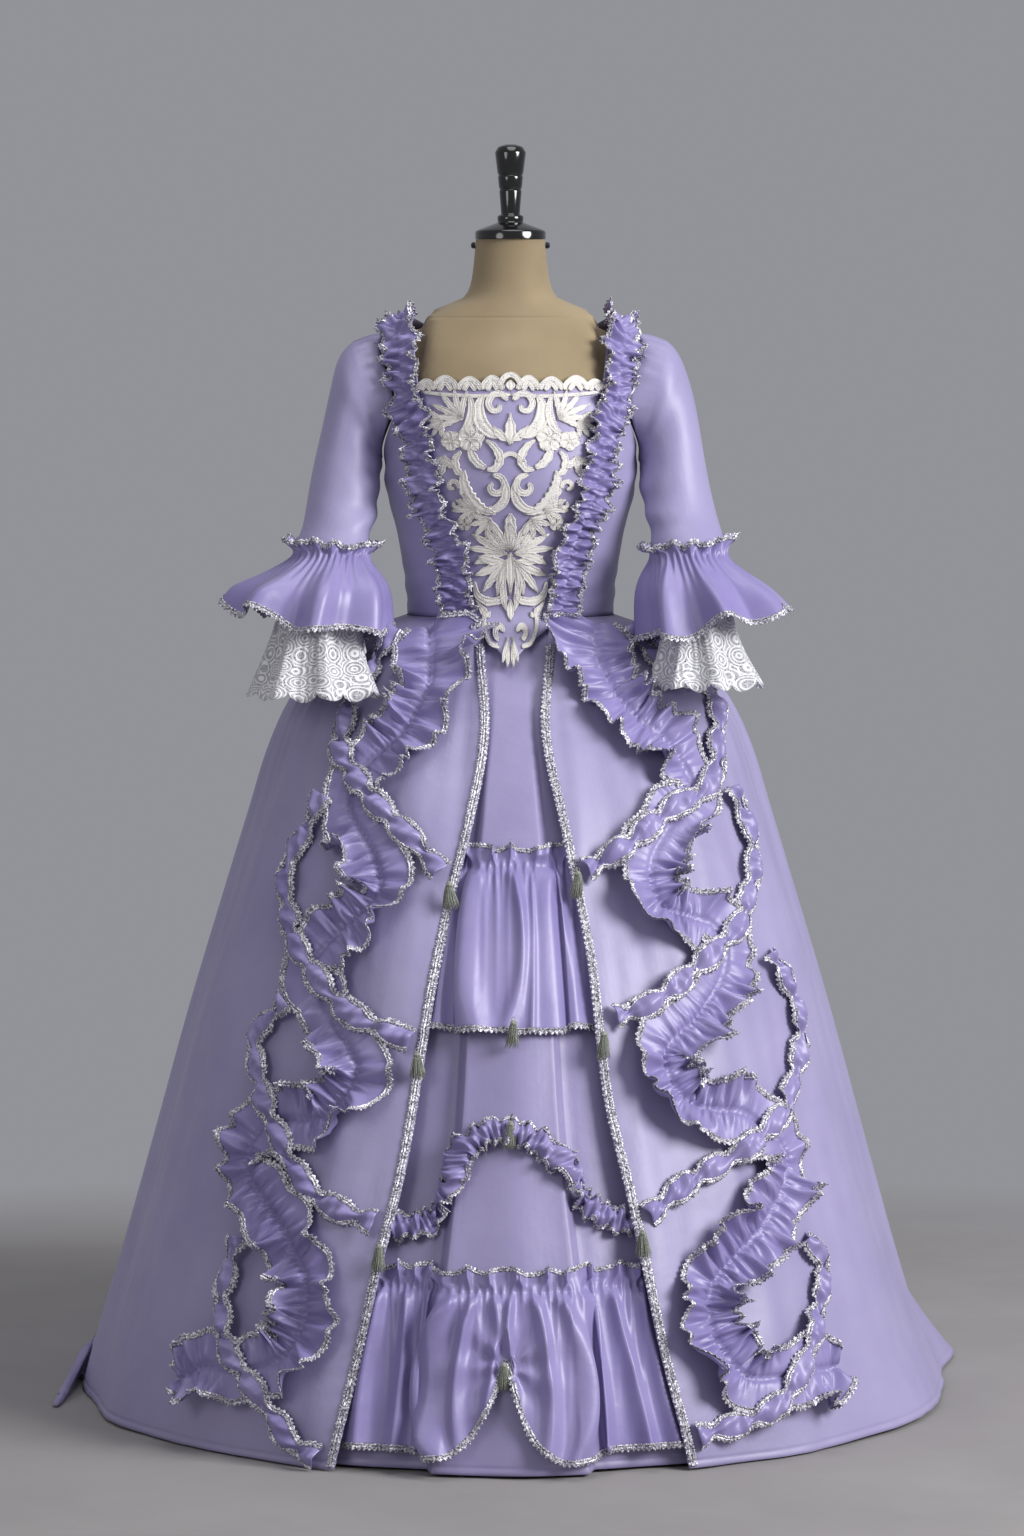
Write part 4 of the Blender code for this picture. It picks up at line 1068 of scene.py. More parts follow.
def build_sleeve(name, side):
    sides = 72
    table = smooth_route(SLEEVE, 7)
    rings = [armhole_ring(sides, side)]
    for i, row in enumerate(table):
        share = i / (len(table) - 1)
        ring = sleeve_ring(row, sides, side, sleeve_crease(share, side))
        if i < 3:
            ring = [a.lerp(b, (i + 1) / 4) for a, b in zip(armhole_ring(sides, side), ring)]
        rings.append(ring)
    cloth(f"satin_sleeve_{name}", rings, [f"sleeve_{name}"], ring=True, flip=side > 0)


# The sleeve's end, where its flounce and its lace are sewn on
SLEEVE_END = (0.2285, -0.085, 1.083)


def build_sleeve_flounce(name, side):
    """The gathered satin flounce and its frilled header, braided along both edges."""
    hem_x, hem_half, middle_half = (value * MM for value in CUFF[name][:3])
    x, y, z = SLEEVE_END
    table = (
        (hem_x, -0.105, 1.004, hem_half, 0.088, 0.013),
        (0.245, -0.097, 1.046, middle_half, middle_half - 0.006, 0.0085),
        (x, y + 0.001, z + 0.002, 0.0494, 0.0494, 0.0006),
        (x - 0.002, y + 0.0125, z + 0.021, 0.0585, 0.0585, 0.003),
    )
    route = smooth_route(table, 9)
    rings = [sleeve_flounce_ring(row, i / (len(route) - 1), side) for i, row in enumerate(route)]
    made = cloth(f"satin_sleeve_flounce_{name}", rings, [f"sleeve_flounce_{name}"], SHADED_TRIM_SATIN, ring=True)
    picot(rings[0], rings[1], ring=True)
    picot(rings[-1], rings[-2], ring=True, face=-1.0, scale=0.9)
    build_picots(f"picot_sleeve_flounce_{name}", made.name)


def sleeve_flounce_ring(row, share, side):
    """One ring of the flounce, a share of the way from its hem to the top of its header."""
    sides = 216
    gather = bell(share - 0.66, 0.2)
    header = ease((share - 0.69) / 0.22)
    near_hem = ease((0.5 - share) / 0.5)
    fine = 0.0003 + 0.0014 * gather + 0.001 * header
    ring = flared_ring(side, sides, row, 7, blend(0.9, 0.4, share), fine)
    frill = flared_ring(side, sides, (*row[:5], 0.0052), 16, 1.3)
    for k, point in enumerate(ring):
        angle = math.tau * k / sides
        point = point.lerp(frill[k], header)
        point.z += 0.009 * near_hem * math.sin(5 * angle + 1.2 * side)
        point.z += side * math.sin(angle) * (0.020 * near_hem + 0.005 * header)
        point.z += 0.0036 * header * math.sin(9 * angle + 1.4 * math.sin(4 * angle))
        ring[k] = point
    return ring


def build_sleeve_lace(name, side):
    """The net lace ruffle that hangs from under the flounce, with a scalloped hem."""
    hem_x, hem_half, hem = (value * MM for value in CUFF[name][3:])
    x, y, z = SLEEVE_END
    table = (
        (hem_x, -0.128, hem, hem_half, 0.070, 0.008),
        (0.243, -0.108, 0.985, hem_half * 0.68, 0.056, 0.004),
        (x, y, z - 0.0017, 0.0458, 0.0458, 0.0),
    )
    sides = 196
    rings = []
    route = smooth_route(table, 12)
    for i, row in enumerate(route):
        scallop = 0.010 * ease((0.12 - i / (len(route) - 1)) / 0.12)
        ring = [off_skirt(p, 0.016) for p in flared_ring(side, sides, row, 7, 0.3, 0.0008)]
        for k, point in enumerate(ring):
            point.z += scallop * (1 - abs(math.sin(7 * math.tau * k / sides)) ** 0.6)
        rings.append(ring)
    cloth(
        f"lace_sleeve_{name}", rings, [f"sleeve_lace_{name}"], NET_LACE, "white_lace",
        wall=LACE_WALL, ring=True,
    )


def uneven(phase, seed):
    """A slow wander that keeps repeated gathers from looking alike."""
    return 0.7 * math.sin(phase * 0.31 + seed) + 0.5 * math.sin(phase * 0.173 + 2.1 * seed)


def ridge(phase):
    """A wave with narrow crests and wide troughs, as gathered satin has."""
    return 2 * (0.5 + 0.5 * math.sin(phase)) ** 1.7 - 0.85


def rolled(reach, width, lift, roll):
    """How far out and how high a place on a ruffle lies where its outer part rolls up and back."""
    start = 0.34
    if reach <= start or roll < 0.02:
        return reach * width, lift
    run = (reach - start) * width
    bend = roll * 2.9 / ((1 - start) * width)
    return start * width + math.sin(bend * run) / bend, lift + (1 - math.cos(bend * run)) / bend


def roll_at(curls, side, travelled, length):
    """How far a ruffle's edge rolls back on one side, at a distance along it."""
    return sum(
        depth * bell(travelled - share * length, CURL_REACH)
        for share, curl_side, depth in curls
        if curl_side == side
    )


def ruffle_rows(surface, stations, length, shape, pressed, seed, curls=(), flare=0.0):
    """Rows across a double ruffle: gathered hard along its middle, its edges standing off in open folds."""
    half_width, waves, height, rest, rise, narrow, ends, pitch = shape
    frames = frames_along(surface, stations)
    across_count = 19
    rows = [[] for _ in range(across_count)]
    for i, (centre, across, along, bend) in enumerate(frames):
        travelled = length * i / (len(frames) - 1)
        phase = math.tau * waves * i / (len(frames) - 1)
        taper = min(1.0, (travelled + 0.012) / ends, (length - travelled + 0.012) / ends)
        for row in range(across_count):
            t = 2 * row / (across_count - 1) - 1
            side = 1 if t >= 0 else -1
            reach = abs(t)
            swing = math.sin(phase + (0 if side > 0 else 2.2) + 0.5 * math.sin(phase / 5.3))
            full = half_width * (1 + 0.08 * math.cos(phase / 2.7)) - narrow * (1 - ease(phase / 16))
            inward = across.x * side * centre.x < 0
            full *= 0.94 + 0.1 * math.sin(phase + 1.3 * side + seed)
            full *= 1 + flare * (3 if inward else 1) * (1 - ease(travelled / 0.12))
            width = room_at(bend, side, full) * taper
            fan = travelled + 0.005 * reach * math.sin(phase * 1.7 + seed * side)
            coarse = ridge(math.tau * fan / pitch + 1.9 * uneven(phase, seed + side))
            fine = ridge(math.tau * fan / (0.38 * pitch) + 2.6 * uneven(phase * 2.1, seed - side))
            crease = half_width * (0.23 * coarse * reach**0.7 + 0.1 * fine * (1 - reach) ** 0.8)
            held = pressed(centre + across * side * width * reach)
            groove = math.exp(-reach / 0.09)
            lift = blend(rest, rise, groove) + height * (0.5 + 0.5 * swing) * held * reach**1.3
            lift += crease * held * (1 - 0.5 * groove)
            roll = roll_at(curls, side, travelled, length)
            out, lift = rolled(reach, width, max(0.0012, lift), roll * held)
            shift = along * (0.16 * half_width * math.cos(phase + (0 if side > 0 else 2.2)) * reach**2)
            rows[row].append(surface.settle(centre + across * side * out, lift) + shift * held)
    return rows


def edge_picots(rows, face=1.0, scale=1.0):
    picot(rows[-1], rows[-2], face=face, scale=scale)
    picot(rows[0], rows[1], face=-face, scale=scale)


def build_robings():
    places = [(math.radians(turn), height * MM) for turn, height in smooth_route(ROBING)]
    stations, length = even_places(bodice, places, 330)
    shape = (ROBING_HALF_WIDTH, ROBING_WAVES, 0.009, 0.0066, 0.0055, 0.008, 0.02, 0.0165)
    for side, sign, seed in (("right", 1, 0.4), ("left", -1, 1.9)):
        rows = robing_rows(stations, length, shape, seed)
        if sign < 0:
            rows = mirrored(rows)
        made = cloth(
            f"satin_robing_{side}", rows, [f"robing_{side}"], SHADED_TRIM_SATIN, wall=RUCHED_WALL, flip=sign > 0
        )
        edge_picots(rows, face=sign, scale=0.8)
        build_picots(f"picot_robing_{side}", made.name)


def robing_rows(stations, length, shape, seed):
    """A robing is ruched so tightly that both its edges crumple into small tucks."""
    rows = ruffle_rows(bodice, stations, length, shape, lambda place: 1.0, seed)
    count = len(rows[0])
    for r, row in enumerate(rows):
        reach = abs(2 * r / (len(rows) - 1) - 1)
        for c, point in enumerate(row):
            place = length * c / (count - 1)
            normal = bodice.normal(*bodice.place(point))
            tuck = math.sin(math.tau * place / 0.0145 + 1.8 * uneven(place * 300, seed) + reach * 1.5)
            pucker = math.sin(math.tau * place / 0.021 + 2.4 * uneven(place * 200, seed + 3) - r * 0.6)
            across = (rows[-1][c] - rows[0][c]).normalized()
            row[c] = point + normal * (0.0036 * tuck * (0.5 + 0.5 * reach) + 0.0026 * pucker)
            row[c] += across * (0.0030 * math.sin(math.tau * place / 0.0155 + seed + r * 0.25) * reach)
    return rows


# Rows close together across a hem's stitching, and the stitching's height
HEM_HEIGHTS = [0.0035, 0.0075, 0.0105, 0.0122, 0.0139]
HEM_STITCH = 0.0122


def overskirt_heights(count):
    """Heights from hem to waist, closer together over the hips."""
    low = [blend(0.017, 0.86, i / count) for i in range(count)]
    return HEM_HEIGHTS + low + [blend(0.86, SKIRT_TOP, i / 32) for i in range(33)]


def hem_stitch(height):
    """The dent of the hem's stitching, 12 mm above the edge."""
    return -0.0009 * bell(height - HEM_STITCH, 0.0009)


def front_pull(turn, height):
    """Small puckers where the braid is sewn to the front edge, and soft drag lines farther in."""
    away = abs(turn) * skirt.size(height)[0]
    pucker = 0.0009 * math.sin(height * 330 + 2.4 * math.sin(height * 31)) * math.exp(-away / 0.02)
    drag = math.sin(height * 27 - away * 16 + 1.3 * math.sin(height * 9)) - 1
    drag *= 0.0022 * ease((0.98 - height) / 0.1) * ease((0.30 - away) / 0.2)
    return pucker + drag + hem_stitch(height)


def soft_fall(turn, height):
    """Slack in the satin: long faint hollows that wander as they fall."""
    place = Vector((turn * 5.5, 0.7, height * 2.1))
    broad = 0.0075 * (noise.noise(place) - 0.5) * ease((0.97 - height) / 0.2)
    return broad + 0.0022 * (noise.noise(place * 3.1) - 0.5) * ease((1.0 - height) / 0.05)


def hem_kick(turn, height):
    """The hem kicks out a little at the right side."""
    return 0.014 * max(0.0, 1 - height / 0.11) ** 1.2 * bell(turn - 1.5, 0.5)


def front_place(turn, height, start, end, out=0.0):
    """A place on a front panel between its turned-back edge and its side seam."""
    slack = soft_fall(turn, height) * ease(abs(turn - end) / 0.12) + hem_kick(turn, height)
    return gathered_skirt.point(turn, height, out + front_pull(turn - start, height) + slack)


def back_place(turn, height):
    slack = soft_fall(turn, height) * side_hold(turn) + hem_kick(turn, height)
    return above_floor(gathered_skirt.point(turn, height, hem_stitch(height) + slack))


def side_hold(turn):
    """0 at the side seams, so that the panels' edges still meet there, and 1 away from them."""
    return ease((math.radians(90) - abs(turn - math.pi)) / 0.12)


def build_overskirt():
    heights = overskirt_heights(90)
    for name, sign in (("left", -1), ("right", 1)):
        rows = []
        for height in heights:
            start, end = edge_turn[name](height), sign * (SIDE_SEAM + math.radians(2) - 0.0004)
            turns = sorted(blend(start, end, i / 74) for i in range(75))
            rows.append([above_floor(front_place(turn, height, start, end)) for turn in turns])
        cloth(f"satin_overskirt_{name}", rows, [f"overskirt_{name}"])
    rows = []
    for height in heights:
        start, end = math.radians(90) + 0.0004, math.radians(270) - 0.0004
        rows.append([back_place(blend(start, end, i / 170), height) for i in range(171)])
    cloth("satin_overskirt_back", rows, ["overskirt_back"])


def petticoat_crease(x, height):
    """Soft upright folds either side of the box pleat."""
    low = ease((0.98 - height) / 0.5)
    return 0.0018 * low * math.sin(62 * x + 0.8 * math.sin(5 * height) + 0.5)


def build_petticoat():
    rows = []
    for height in HEM_HEIGHTS + [blend(0.017, 1.005, i / 90) for i in range(91)]:
        reach = skirt.size(height)[0] * 0.72
        fold = pleat(height)[0]
        inner = [fold * k / 12 for k in range(12)]
        shoulder = [fold + PLEAT_SHOULDER * k / 8 for k in range(9)]
        outer = [blend(fold + PLEAT_SHOULDER, reach, k / 22) for k in range(1, 23)]
        half = inner + shoulder + outer
        xs = [-x for x in half[:0:-1]] + half
        out = [petticoat_crease(x, height) + hem_stitch(height) for x in xs]
        rows.append([petticoat.point(petticoat.at_x(x, height), height, o) for x, o in zip(xs, out)])
    cloth("satin_petticoat", rows, ["petticoat"], PETTICOAT_SATIN)


def fold_height(folds, place, down, span):
    """How far the flounce's folds stand out, at a place across and a share of the way from gather to hem."""
    total = 0.0
    for gather, middle, hem, near_half, near_height, far_half, far_height in folds:
        line = gather * (1 - down) * (1 - 2 * down) + middle * 4 * down * (1 - down)
        line += hem * down * (2 * down - 1)
        half = blend(near_half, far_half, down) * MM
        away = (place - line) * span / half
        total += blend(near_height, far_height, down) * MM * math.exp(-(abs(away) ** 1.8))
    return total * ease(down / 0.1)


def flounce_rows(folds, lines, tuck, hem_lift=None, seed=0.0):
    """Rows of a flounce over the petticoat, from hem to header, between the overskirt's edges."""
    route = smooth_route(lines, 14)
    count = 22 * len(folds)
    rows = []
    for k, line in enumerate(route):
        height, out, _ = (value * MM for value in line)
        share = k / (len(route) - 1)
        down = max(0.0, 1 - share / 0.667)
        gather = bell(share - 0.667, 0.09)
        header = ease((share - 0.68) / 0.12)
        left = skirt.size(height)[0] * math.sin(edge_turn["left"](height)) - tuck
        right = skirt.size(height)[0] * math.sin(edge_turn["right"](height)) + tuck
        row = []
        for i in range(count + 1):
            place = i / count
            x = blend(left, right, place)
            level = height + (hem_lift(x, height) if hem_lift else 0.0)
            wander = uneven(x * 210, seed)
            lift = out + fold_height(folds, place, down, right - left)
            if hem_lift:
                lift = max(0.003, 1.18 * lift + apex_folds(x, level))
            lift += 0.0013 * ridge(math.tau * x / 0.0105 + 2.4 * wander) * gather
            lift += 0.0011 * ridge(math.tau * x / 0.019 + 2.0 * wander + seed) * (1 - down) * ease(down / 0.1)
            lift += 0.0034 * ease(down / 0.05)
            wave = math.tau * x / 0.031 + 1.5 * wander
            frill = 0.0062 * math.sin(wave) + 0.0014 * math.sin(math.tau * x / 0.013)
            wobble = 0.0035 * header * math.sin(math.tau * x / 0.047 + seed + wander)
            sway = 0.0042 * header * math.cos(wave)
            turn = petticoat.at_x(x + sway, level)
            row.append(petticoat.point(turn, level + wobble, max(0.001, lift + (0.004 + frill) * header)))
        rows.append(row)
    return rows


def centre_lift(x, height):
    """The lower flounce's hem is caught up to a point in the middle, and hangs lowest beside it."""
    away = x + 0.004
    reach = away / (0.020 if away > 0 else -0.030)
    dip = 0.003 + 0.010 * bell(x + 0.080, 0.034) + 0.011 * bell(x - 0.068, 0.032)
    return (0.110 * math.exp(-(reach**1.15)) - dip) * ease((0.205 - height) / 0.17)


def apex_folds(x, height):
    """Small folds that run into the stitch holding the hem up."""
    across, up = x + 0.004, height - 0.131
    away = math.hypot(across, up)
    turn = math.atan2(across, up)
    fold = 0.0055 * math.sin(7 * turn + 0.5) * away / (away + 0.012) * bell(away, 0.06)
    return fold - 0.008 * bell(away, 0.016)


def build_flounces():
    table = (
        ("upper", flounce_rows(UPPER_FOLDS, UPPER_FLOUNCE, 0.018, seed=0.7)),
        ("lower", flounce_rows(LOWER_FOLDS, LOWER_FLOUNCE, 0.016, centre_lift, seed=2.2)),
    )
    for name, rows in table:
        made = cloth(f"satin_flounce_{name}", rows, [f"petticoat_flounce_{name}"], SHADED_TRIM_SATIN)
        picot(rows[0], rows[1])
        picot(rows[-1], rows[-2], face=-1.0, scale=0.72)
        build_picots(f"picot_flounce_{name}", made.name)


def band_rows(surface, stations, length, shape, lift, seed, pinched=1.0):
    """Rows across a narrow band: a chain of puffs, pinched in between and puckered by the stitches."""
    half_width, waves, low, puff = shape
    frames = frames_along(surface, stations)
    across_count = 9
    rows = [[] for _ in range(across_count)]
    for i, (centre, across, _, bend) in enumerate(frames):
        phase = math.tau * waves * i / (len(frames) - 1)
        travelled = length * i / (len(frames) - 1)
        raised = lift(centre)
        pinch = 0.5 + 0.5 * math.cos(math.tau * travelled / 0.058 + 1.1 * uneven(travelled * 60, seed) + seed)
        pinch = pinched * pinch**2.5
        for row in range(across_count):
            t = 2 * row / (across_count - 1) - 1
            side = 1 if t >= 0 else -1
            reach = abs(t)
            swing = 0.5 + 0.5 * math.sin(phase + side * 0.9 + 0.4 * math.sin(phase / 3.1))
            width = room_at(bend, side, half_width * (1.22 - 0.62 * pinch + 0.05 * swing))
            tuck = math.sin(math.tau * travelled / 0.017 + 2.1 * uneven(travelled * 260, seed) + 0.8 * t)
            crown = 0.0105 * (1 - reach**2) * (1 - 0.75 * pinch)
            crumpled = 2.2 * uneven(travelled * 130, seed + 2)
            crumple = math.sin(math.tau * travelled / 0.042 + 3.6 * t + crumpled)
            height = low + puff * swing * reach**1.5 + crown + 0.0013 * tuck * (0.5 + 0.5 * (1 - reach))
            height += 0.0034 * crumple * (1 - 0.4 * reach)
            place = centre + across * side * width * reach
            rows[row].append(surface.settle(place, max(low * 0.8, height) + raised))
    return rows


def side_of_row(row, rows):
    """-1 on a band's first rows and 1 on its last ones."""
    return 1 if row * 2 >= len(rows) else -1


def build_festoon():
    places = [petticoat.seen(*row) for row in smooth_route(FESTOON)]
    stations, length = even_places(petticoat, places, 290)
    rows = band_rows(petticoat, stations, length, (0.0118, 14, 0.0085, 0.006), lambda place: 0.0, 0.3, 0.0)
    for r, row in enumerate(rows):
        reach = abs(2 * r / (len(rows) - 1) - 1)
        for c, point in enumerate(row):
            travelled = length * c / (len(row) - 1)
            normal = petticoat.normal(*petticoat.place(point))
            tuck = math.sin(math.tau * travelled / 0.0155 + 2.3 * uneven(travelled * 280, 4.0) + r * 0.4)
            small = math.sin(math.tau * travelled / 0.0082 + 2.0 * uneven(travelled * 410, 1.0) - r * 0.5)
            row[c] = point + normal * (0.0050 * tuck * (0.4 + 0.6 * reach) + 0.0025 * small)
            row[c].z += 0.0036 * math.sin(math.tau * travelled / 0.0185 + 2.0 * side_of_row(r, rows)) * reach
    made = cloth("satin_festoon", rows, ["petticoat_festoon"], SHADED_TRIM_SATIN, wall=RUCHED_WALL, flip=True)
    edge_picots(rows, scale=0.72)
    build_picots("picot_festoon", made.name)


def nearest(lines, place):
    return min((point - place).length for line in lines for point in line)


def build_skirt_trims(name, seed):
    ruffle_places = [skirt.seen(*row) for row in smooth_route(RUFFLES[name])]
    coarse, length = even_places(skirt, ruffle_places, 89)
    ruffle_line = [skirt.bare(*place) for place in coarse]
    band_stations = []
    for band in BANDS[name]:
        places = [skirt.seen(*row) for row in smooth_route(band)]
        long = even_places(skirt, places, 2)[1]
        band_stations.append((even_places(skirt, places, round(long / 0.0026))[0], long))
    band_lines = [[skirt.bare(*place) for place in stations[::8]] for stations, _ in band_stations]

    def pressed(place):
        return 0.12 + 0.88 * ease((nearest(band_lines, place) - 0.026) / 0.03)

    def lift(place):
        return 0.0105 * (1 - ease((nearest([ruffle_line], place) - 0.046) / 0.02))

    stations, length = even_places(skirt, ruffle_places, round(length / 0.0024))
    shape = (RUFFLE_HALF_WIDTH, RUFFLE_WAVES, 0.015, 0.0095, 0.0018, 0.0, 0.03, 0.024)
    rows = ruffle_rows(skirt, stations, length, shape, pressed, seed, CURLS[name], 0.3)
    made = cloth(
        f"satin_ruffle_{name}", rows, [f"skirt_ruffle_{name}"], SHADED_TRIM_SATIN, wall=RUCHED_WALL, flip=True
    )
    edge_picots(rows)
    build_picots(f"picot_ruffle_{name}", made.name)
    for number, (stations, long) in enumerate(band_stations, 1):
        low = 0.0021 if number == 1 else 0.0017
        rows = band_rows(skirt, stations, long, (BAND_HALF_WIDTH, 5, low, 0.0045), lift, seed + number)
        made = cloth(
            f"satin_band_{name}_{number}", rows, [f"skirt_band_{name}_{number}"], SHADED_TRIM_SATIN,
            wall=RUCHED_WALL, flip=True,
        )
        edge_picots(rows, scale=0.95)
        build_picots(f"picot_band_{name}_{number}", made.name)


def build_braids():
    for name, sign in (("left", -1), ("right", 1)):
        edge, inner = [], []
        for i in range(330):
            height = blend(0.006, 0.975, i / 329)
            turn = edge_turn[name](height)
            step = sign / skirt.size(height)[0]
            seam = sign * SIDE_SEAM
            edge.append(front_place(turn + 0.003 * step, height, turn, seam, 0.0012))
            inner.append(front_place(turn + 0.0095 * step, height, turn, seam, 0.0012))
        picot(edge, inner, face=-sign, scale=1.0)
        picot([a.lerp(b, 0.95) for a, b in zip(edge, inner)], edge, face=sign, scale=0.6)
        made = build_picots(f"picot_braid_{name}", f"satin_overskirt_{name}")
        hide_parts(f"braid_{name}")


TASSEL_HEAD = 0.0058
TASSEL_STRANDS = 80
GOLDEN_ANGLE = 2.399963


def strand(points, faces, line, radius):
    """A thin three-sided strand along a line."""
    start = len(points)
    for k, centre in enumerate(line):
        along = (line[min(len(line) - 1, k + 1)] - line[max(0, k - 1)]).normalized()
        side = along.cross(Vector((0.3, 0.9, 0.2))).normalized()
        front = along.cross(side)
        width = radius * (1.0 if k < len(line) - 1 else 0.5)
        for n in range(3):
            angle = math.tau * n / 3
            points.append(tuple(centre + (side * math.cos(angle) + front * math.sin(angle)) * width))
    for k in range(len(line) - 1):
        for n in range(3):
            a, b = start + 3 * k + n, start + 3 * k + (n + 1) % 3
            faces.append((a, b, b + 3, a + 3))
    faces.append((start + 2, start + 1, start))
    end = start + 3 * (len(line) - 1)
    faces.append((end, end + 1, end + 2))


def tassel_strands(points, faces, top, seed):
    """A tassel's skirt of loose strands, spread evenly over a round."""
    for s in range(TASSEL_STRANDS):
        angle = GOLDEN_ANGLE * s + seed
        radius = math.sqrt((s + 0.5) / TASSEL_STRANDS)
        spread = Vector((math.cos(angle), math.sin(angle) * 0.7, 0)) * radius
        length = 0.0265 + 0.004 * math.sin(1.7 * s + seed)
        line = []
        for k in range(6):
            share = k / 5
            width = TASSEL_HEAD * blend(0.7, 1.75 + 0.25 * math.sin(seed), share**0.9)
            sway = Vector((math.sin(seed) * 0.003 * share**2, 0, 0))
            line.append(top + Vector((0, 0, -0.005 - length * share)) + spread * width + sway)
        strand(points, faces, line, 0.00042)


def tassel_head(points, faces, top):
    """Thread wound round a tassel's head, ring under ring."""
    for number, share in enumerate((0.35, 0.55, 0.65, 0.62, 0.55)):
        width, level = TASSEL_HEAD * share, -0.0015 - 0.0013 * number
        loop = [
            top + Vector((math.cos(a) * width, math.sin(a) * width * 0.8, level))
            for a in (math.tau * n / 14 for n in range(15))
        ]
        strand(points, faces, loop, 0.0010)


def tassel_eye(points, faces, top):
    """The small loop that a tassel hangs from, just behind its head."""
    back = Vector((top.x * 0.4, -1.0, 0)).normalized() * -0.002
    loop = [
        top + back + Vector((math.cos(a) * 0.0022, 0, 0.0012 + math.sin(a) * 0.0022))
        for a in (math.tau * n / 10 for n in range(11))
    ]
    strand(points, faces, loop, 0.0005)


def build_tassels():
    for node in sorted(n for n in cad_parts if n.startswith("tassel")):
        low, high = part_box(node)
        centre = (low + high) / 2
        top = Vector((centre.x, centre.y, high.z))
        seed = sum(ord(letter) for letter in node)
        points, faces = [], []
        tassel_strands(points, faces, top, seed)
        tassel_head(points, faces, top)
        tassel_eye(points, faces, top)
        add_piece(f"thread_{node}", new_mesh(f"thread_{node}", points, faces), THREAD, [node])


# The corded lace's distance off the satin and its relief; below a height its motifs are drawn up by a share
LACE_OFF = 0.0006
LACE_RELIEF = 0.0016
LACE_SHORTER_BELOW = 1090
LACE_SHORTER = 0.38


def leaf(spine, widths, lobes=0, depth=0.0, heights=(0.2, 1.5, 0.45, 0.6, 1.35)):
    """Rows across a worked leaf or scroll: a corded rim, a stitched filling and a raised vein."""
    spine = smooth_route(spine, 7)
    count = len(spine)
    rows = []
    for i, point in enumerate(spine):
        share = i / (count - 1)
        along = (spine[min(count - 1, i + 1)] - spine[max(0, i - 1)]).normalized()
        across = Vector((along.y, -along.x))
        width = widths(share)
        notch = 1 - depth * abs(math.sin(math.pi * lobes * share)) if lobes else 1.0
        row = []
        for k in (-1.0, -0.88, -0.66, -0.34, 0.0, 0.34, 0.66, 0.88, 1.0):
            level = heights[round(min(4, (1 - abs(k)) * 4.01 + (0 if abs(k) == 1 else 0.6)))]
            place = point + across * width * k * (notch if abs(k) > 0.5 else blend(1, notch, 0.4))
            row.append((place.x, place.y, level))
        rows.append(row)
    return rows


def leaf_width(widest, peak=0.42, tip=0.12):
    power = math.log(0.5) / math.log(peak)
    return lambda share: widest * max(tip, math.sin(math.pi * min(1.0, share**power)))


def scroll_width(start, end, swell=0.0):
    def width(share):
        rounded = min(1.0, (share + 0.012) / 0.07, (1.012 - share) / 0.07) ** 0.5
        return (blend(start, end, share) + swell * math.sin(math.pi * share)) * rounded

    return width


def curl(centre, radius, start, turns, shrink=0.25, sign=1):
    """Points along a scroll that winds in towards its centre."""
    count = 9
    made = []
    for i in range(count):
        share = i / (count - 1)
        angle = math.radians(start) + sign * math.tau * turns * share
        reach = radius * blend(1.0, shrink, share)
        made.append((centre[0] + reach * math.cos(angle), centre[1] + reach * math.sin(angle)))
    return made


def flower(x, y, radius, petals, turn=0.0):
    made = []
    for n in range(petals):
        angle = math.radians(turn) + math.tau * n / petals
        tip = (x + radius * math.cos(angle), y + radius * math.sin(angle))
        near = (x + radius * 0.12 * math.cos(angle), y + radius * 0.12 * math.sin(angle))
        made.append(leaf((near, tip), leaf_width(radius * 0.50, 0.62, 0.3)))
    made.append(leaf(((x - radius * 0.2, y), (x + radius * 0.2, y)), leaf_width(radius * 0.22, 0.5, 0.5)))
    return made


def spray(x, y, angle, length, count, spread, width):
    """Leaves that fan out from one point."""
    made = []
    for n in range(count):
        part = n / (count - 1) - 0.5
        turn = math.radians(angle + spread * part)
        reach = length * (1 - 0.45 * abs(part))
        middle = (x + reach * 0.5 * math.cos(turn), y + reach * 0.5 * math.sin(turn))
        tip = (x + reach * math.cos(turn + 0.25 * part), y + reach * math.sin(turn + 0.25 * part))
        made.append(leaf(((x, y), middle, tip), leaf_width(width * 1.25, 0.58), 4, 0.28))
    return made


def scroll(spine, widths, lobes=0, depth=0.0):
    """A worked scroll; its widths are half widths at the start and the end, and the swell between."""
    return leaf(spine, scroll_width(*widths), lobes, depth)


def scallops():
    """The border under the neckline."""
    made = []
    for x, half, rise in ((22, 13, 9), (50, 14, 8), (80, 15, 9), (103, 11, 6)):
        near, far = half * 0.55, half * 0.7
        arc = [
            (x - half, 1297), (x - far, 1297 + rise), (x, 1299 + rise * 1.5), (x + far, 1297 + rise),
            (x + half, 1297),
        ]
        made.append(scroll(arc, (3.2, 3.2)))
        made.append(scroll([(x - near, 1296), (x, 1301 + rise * 0.6), (x + near, 1296)], (2.6, 2.6, 1.0)))
    return made


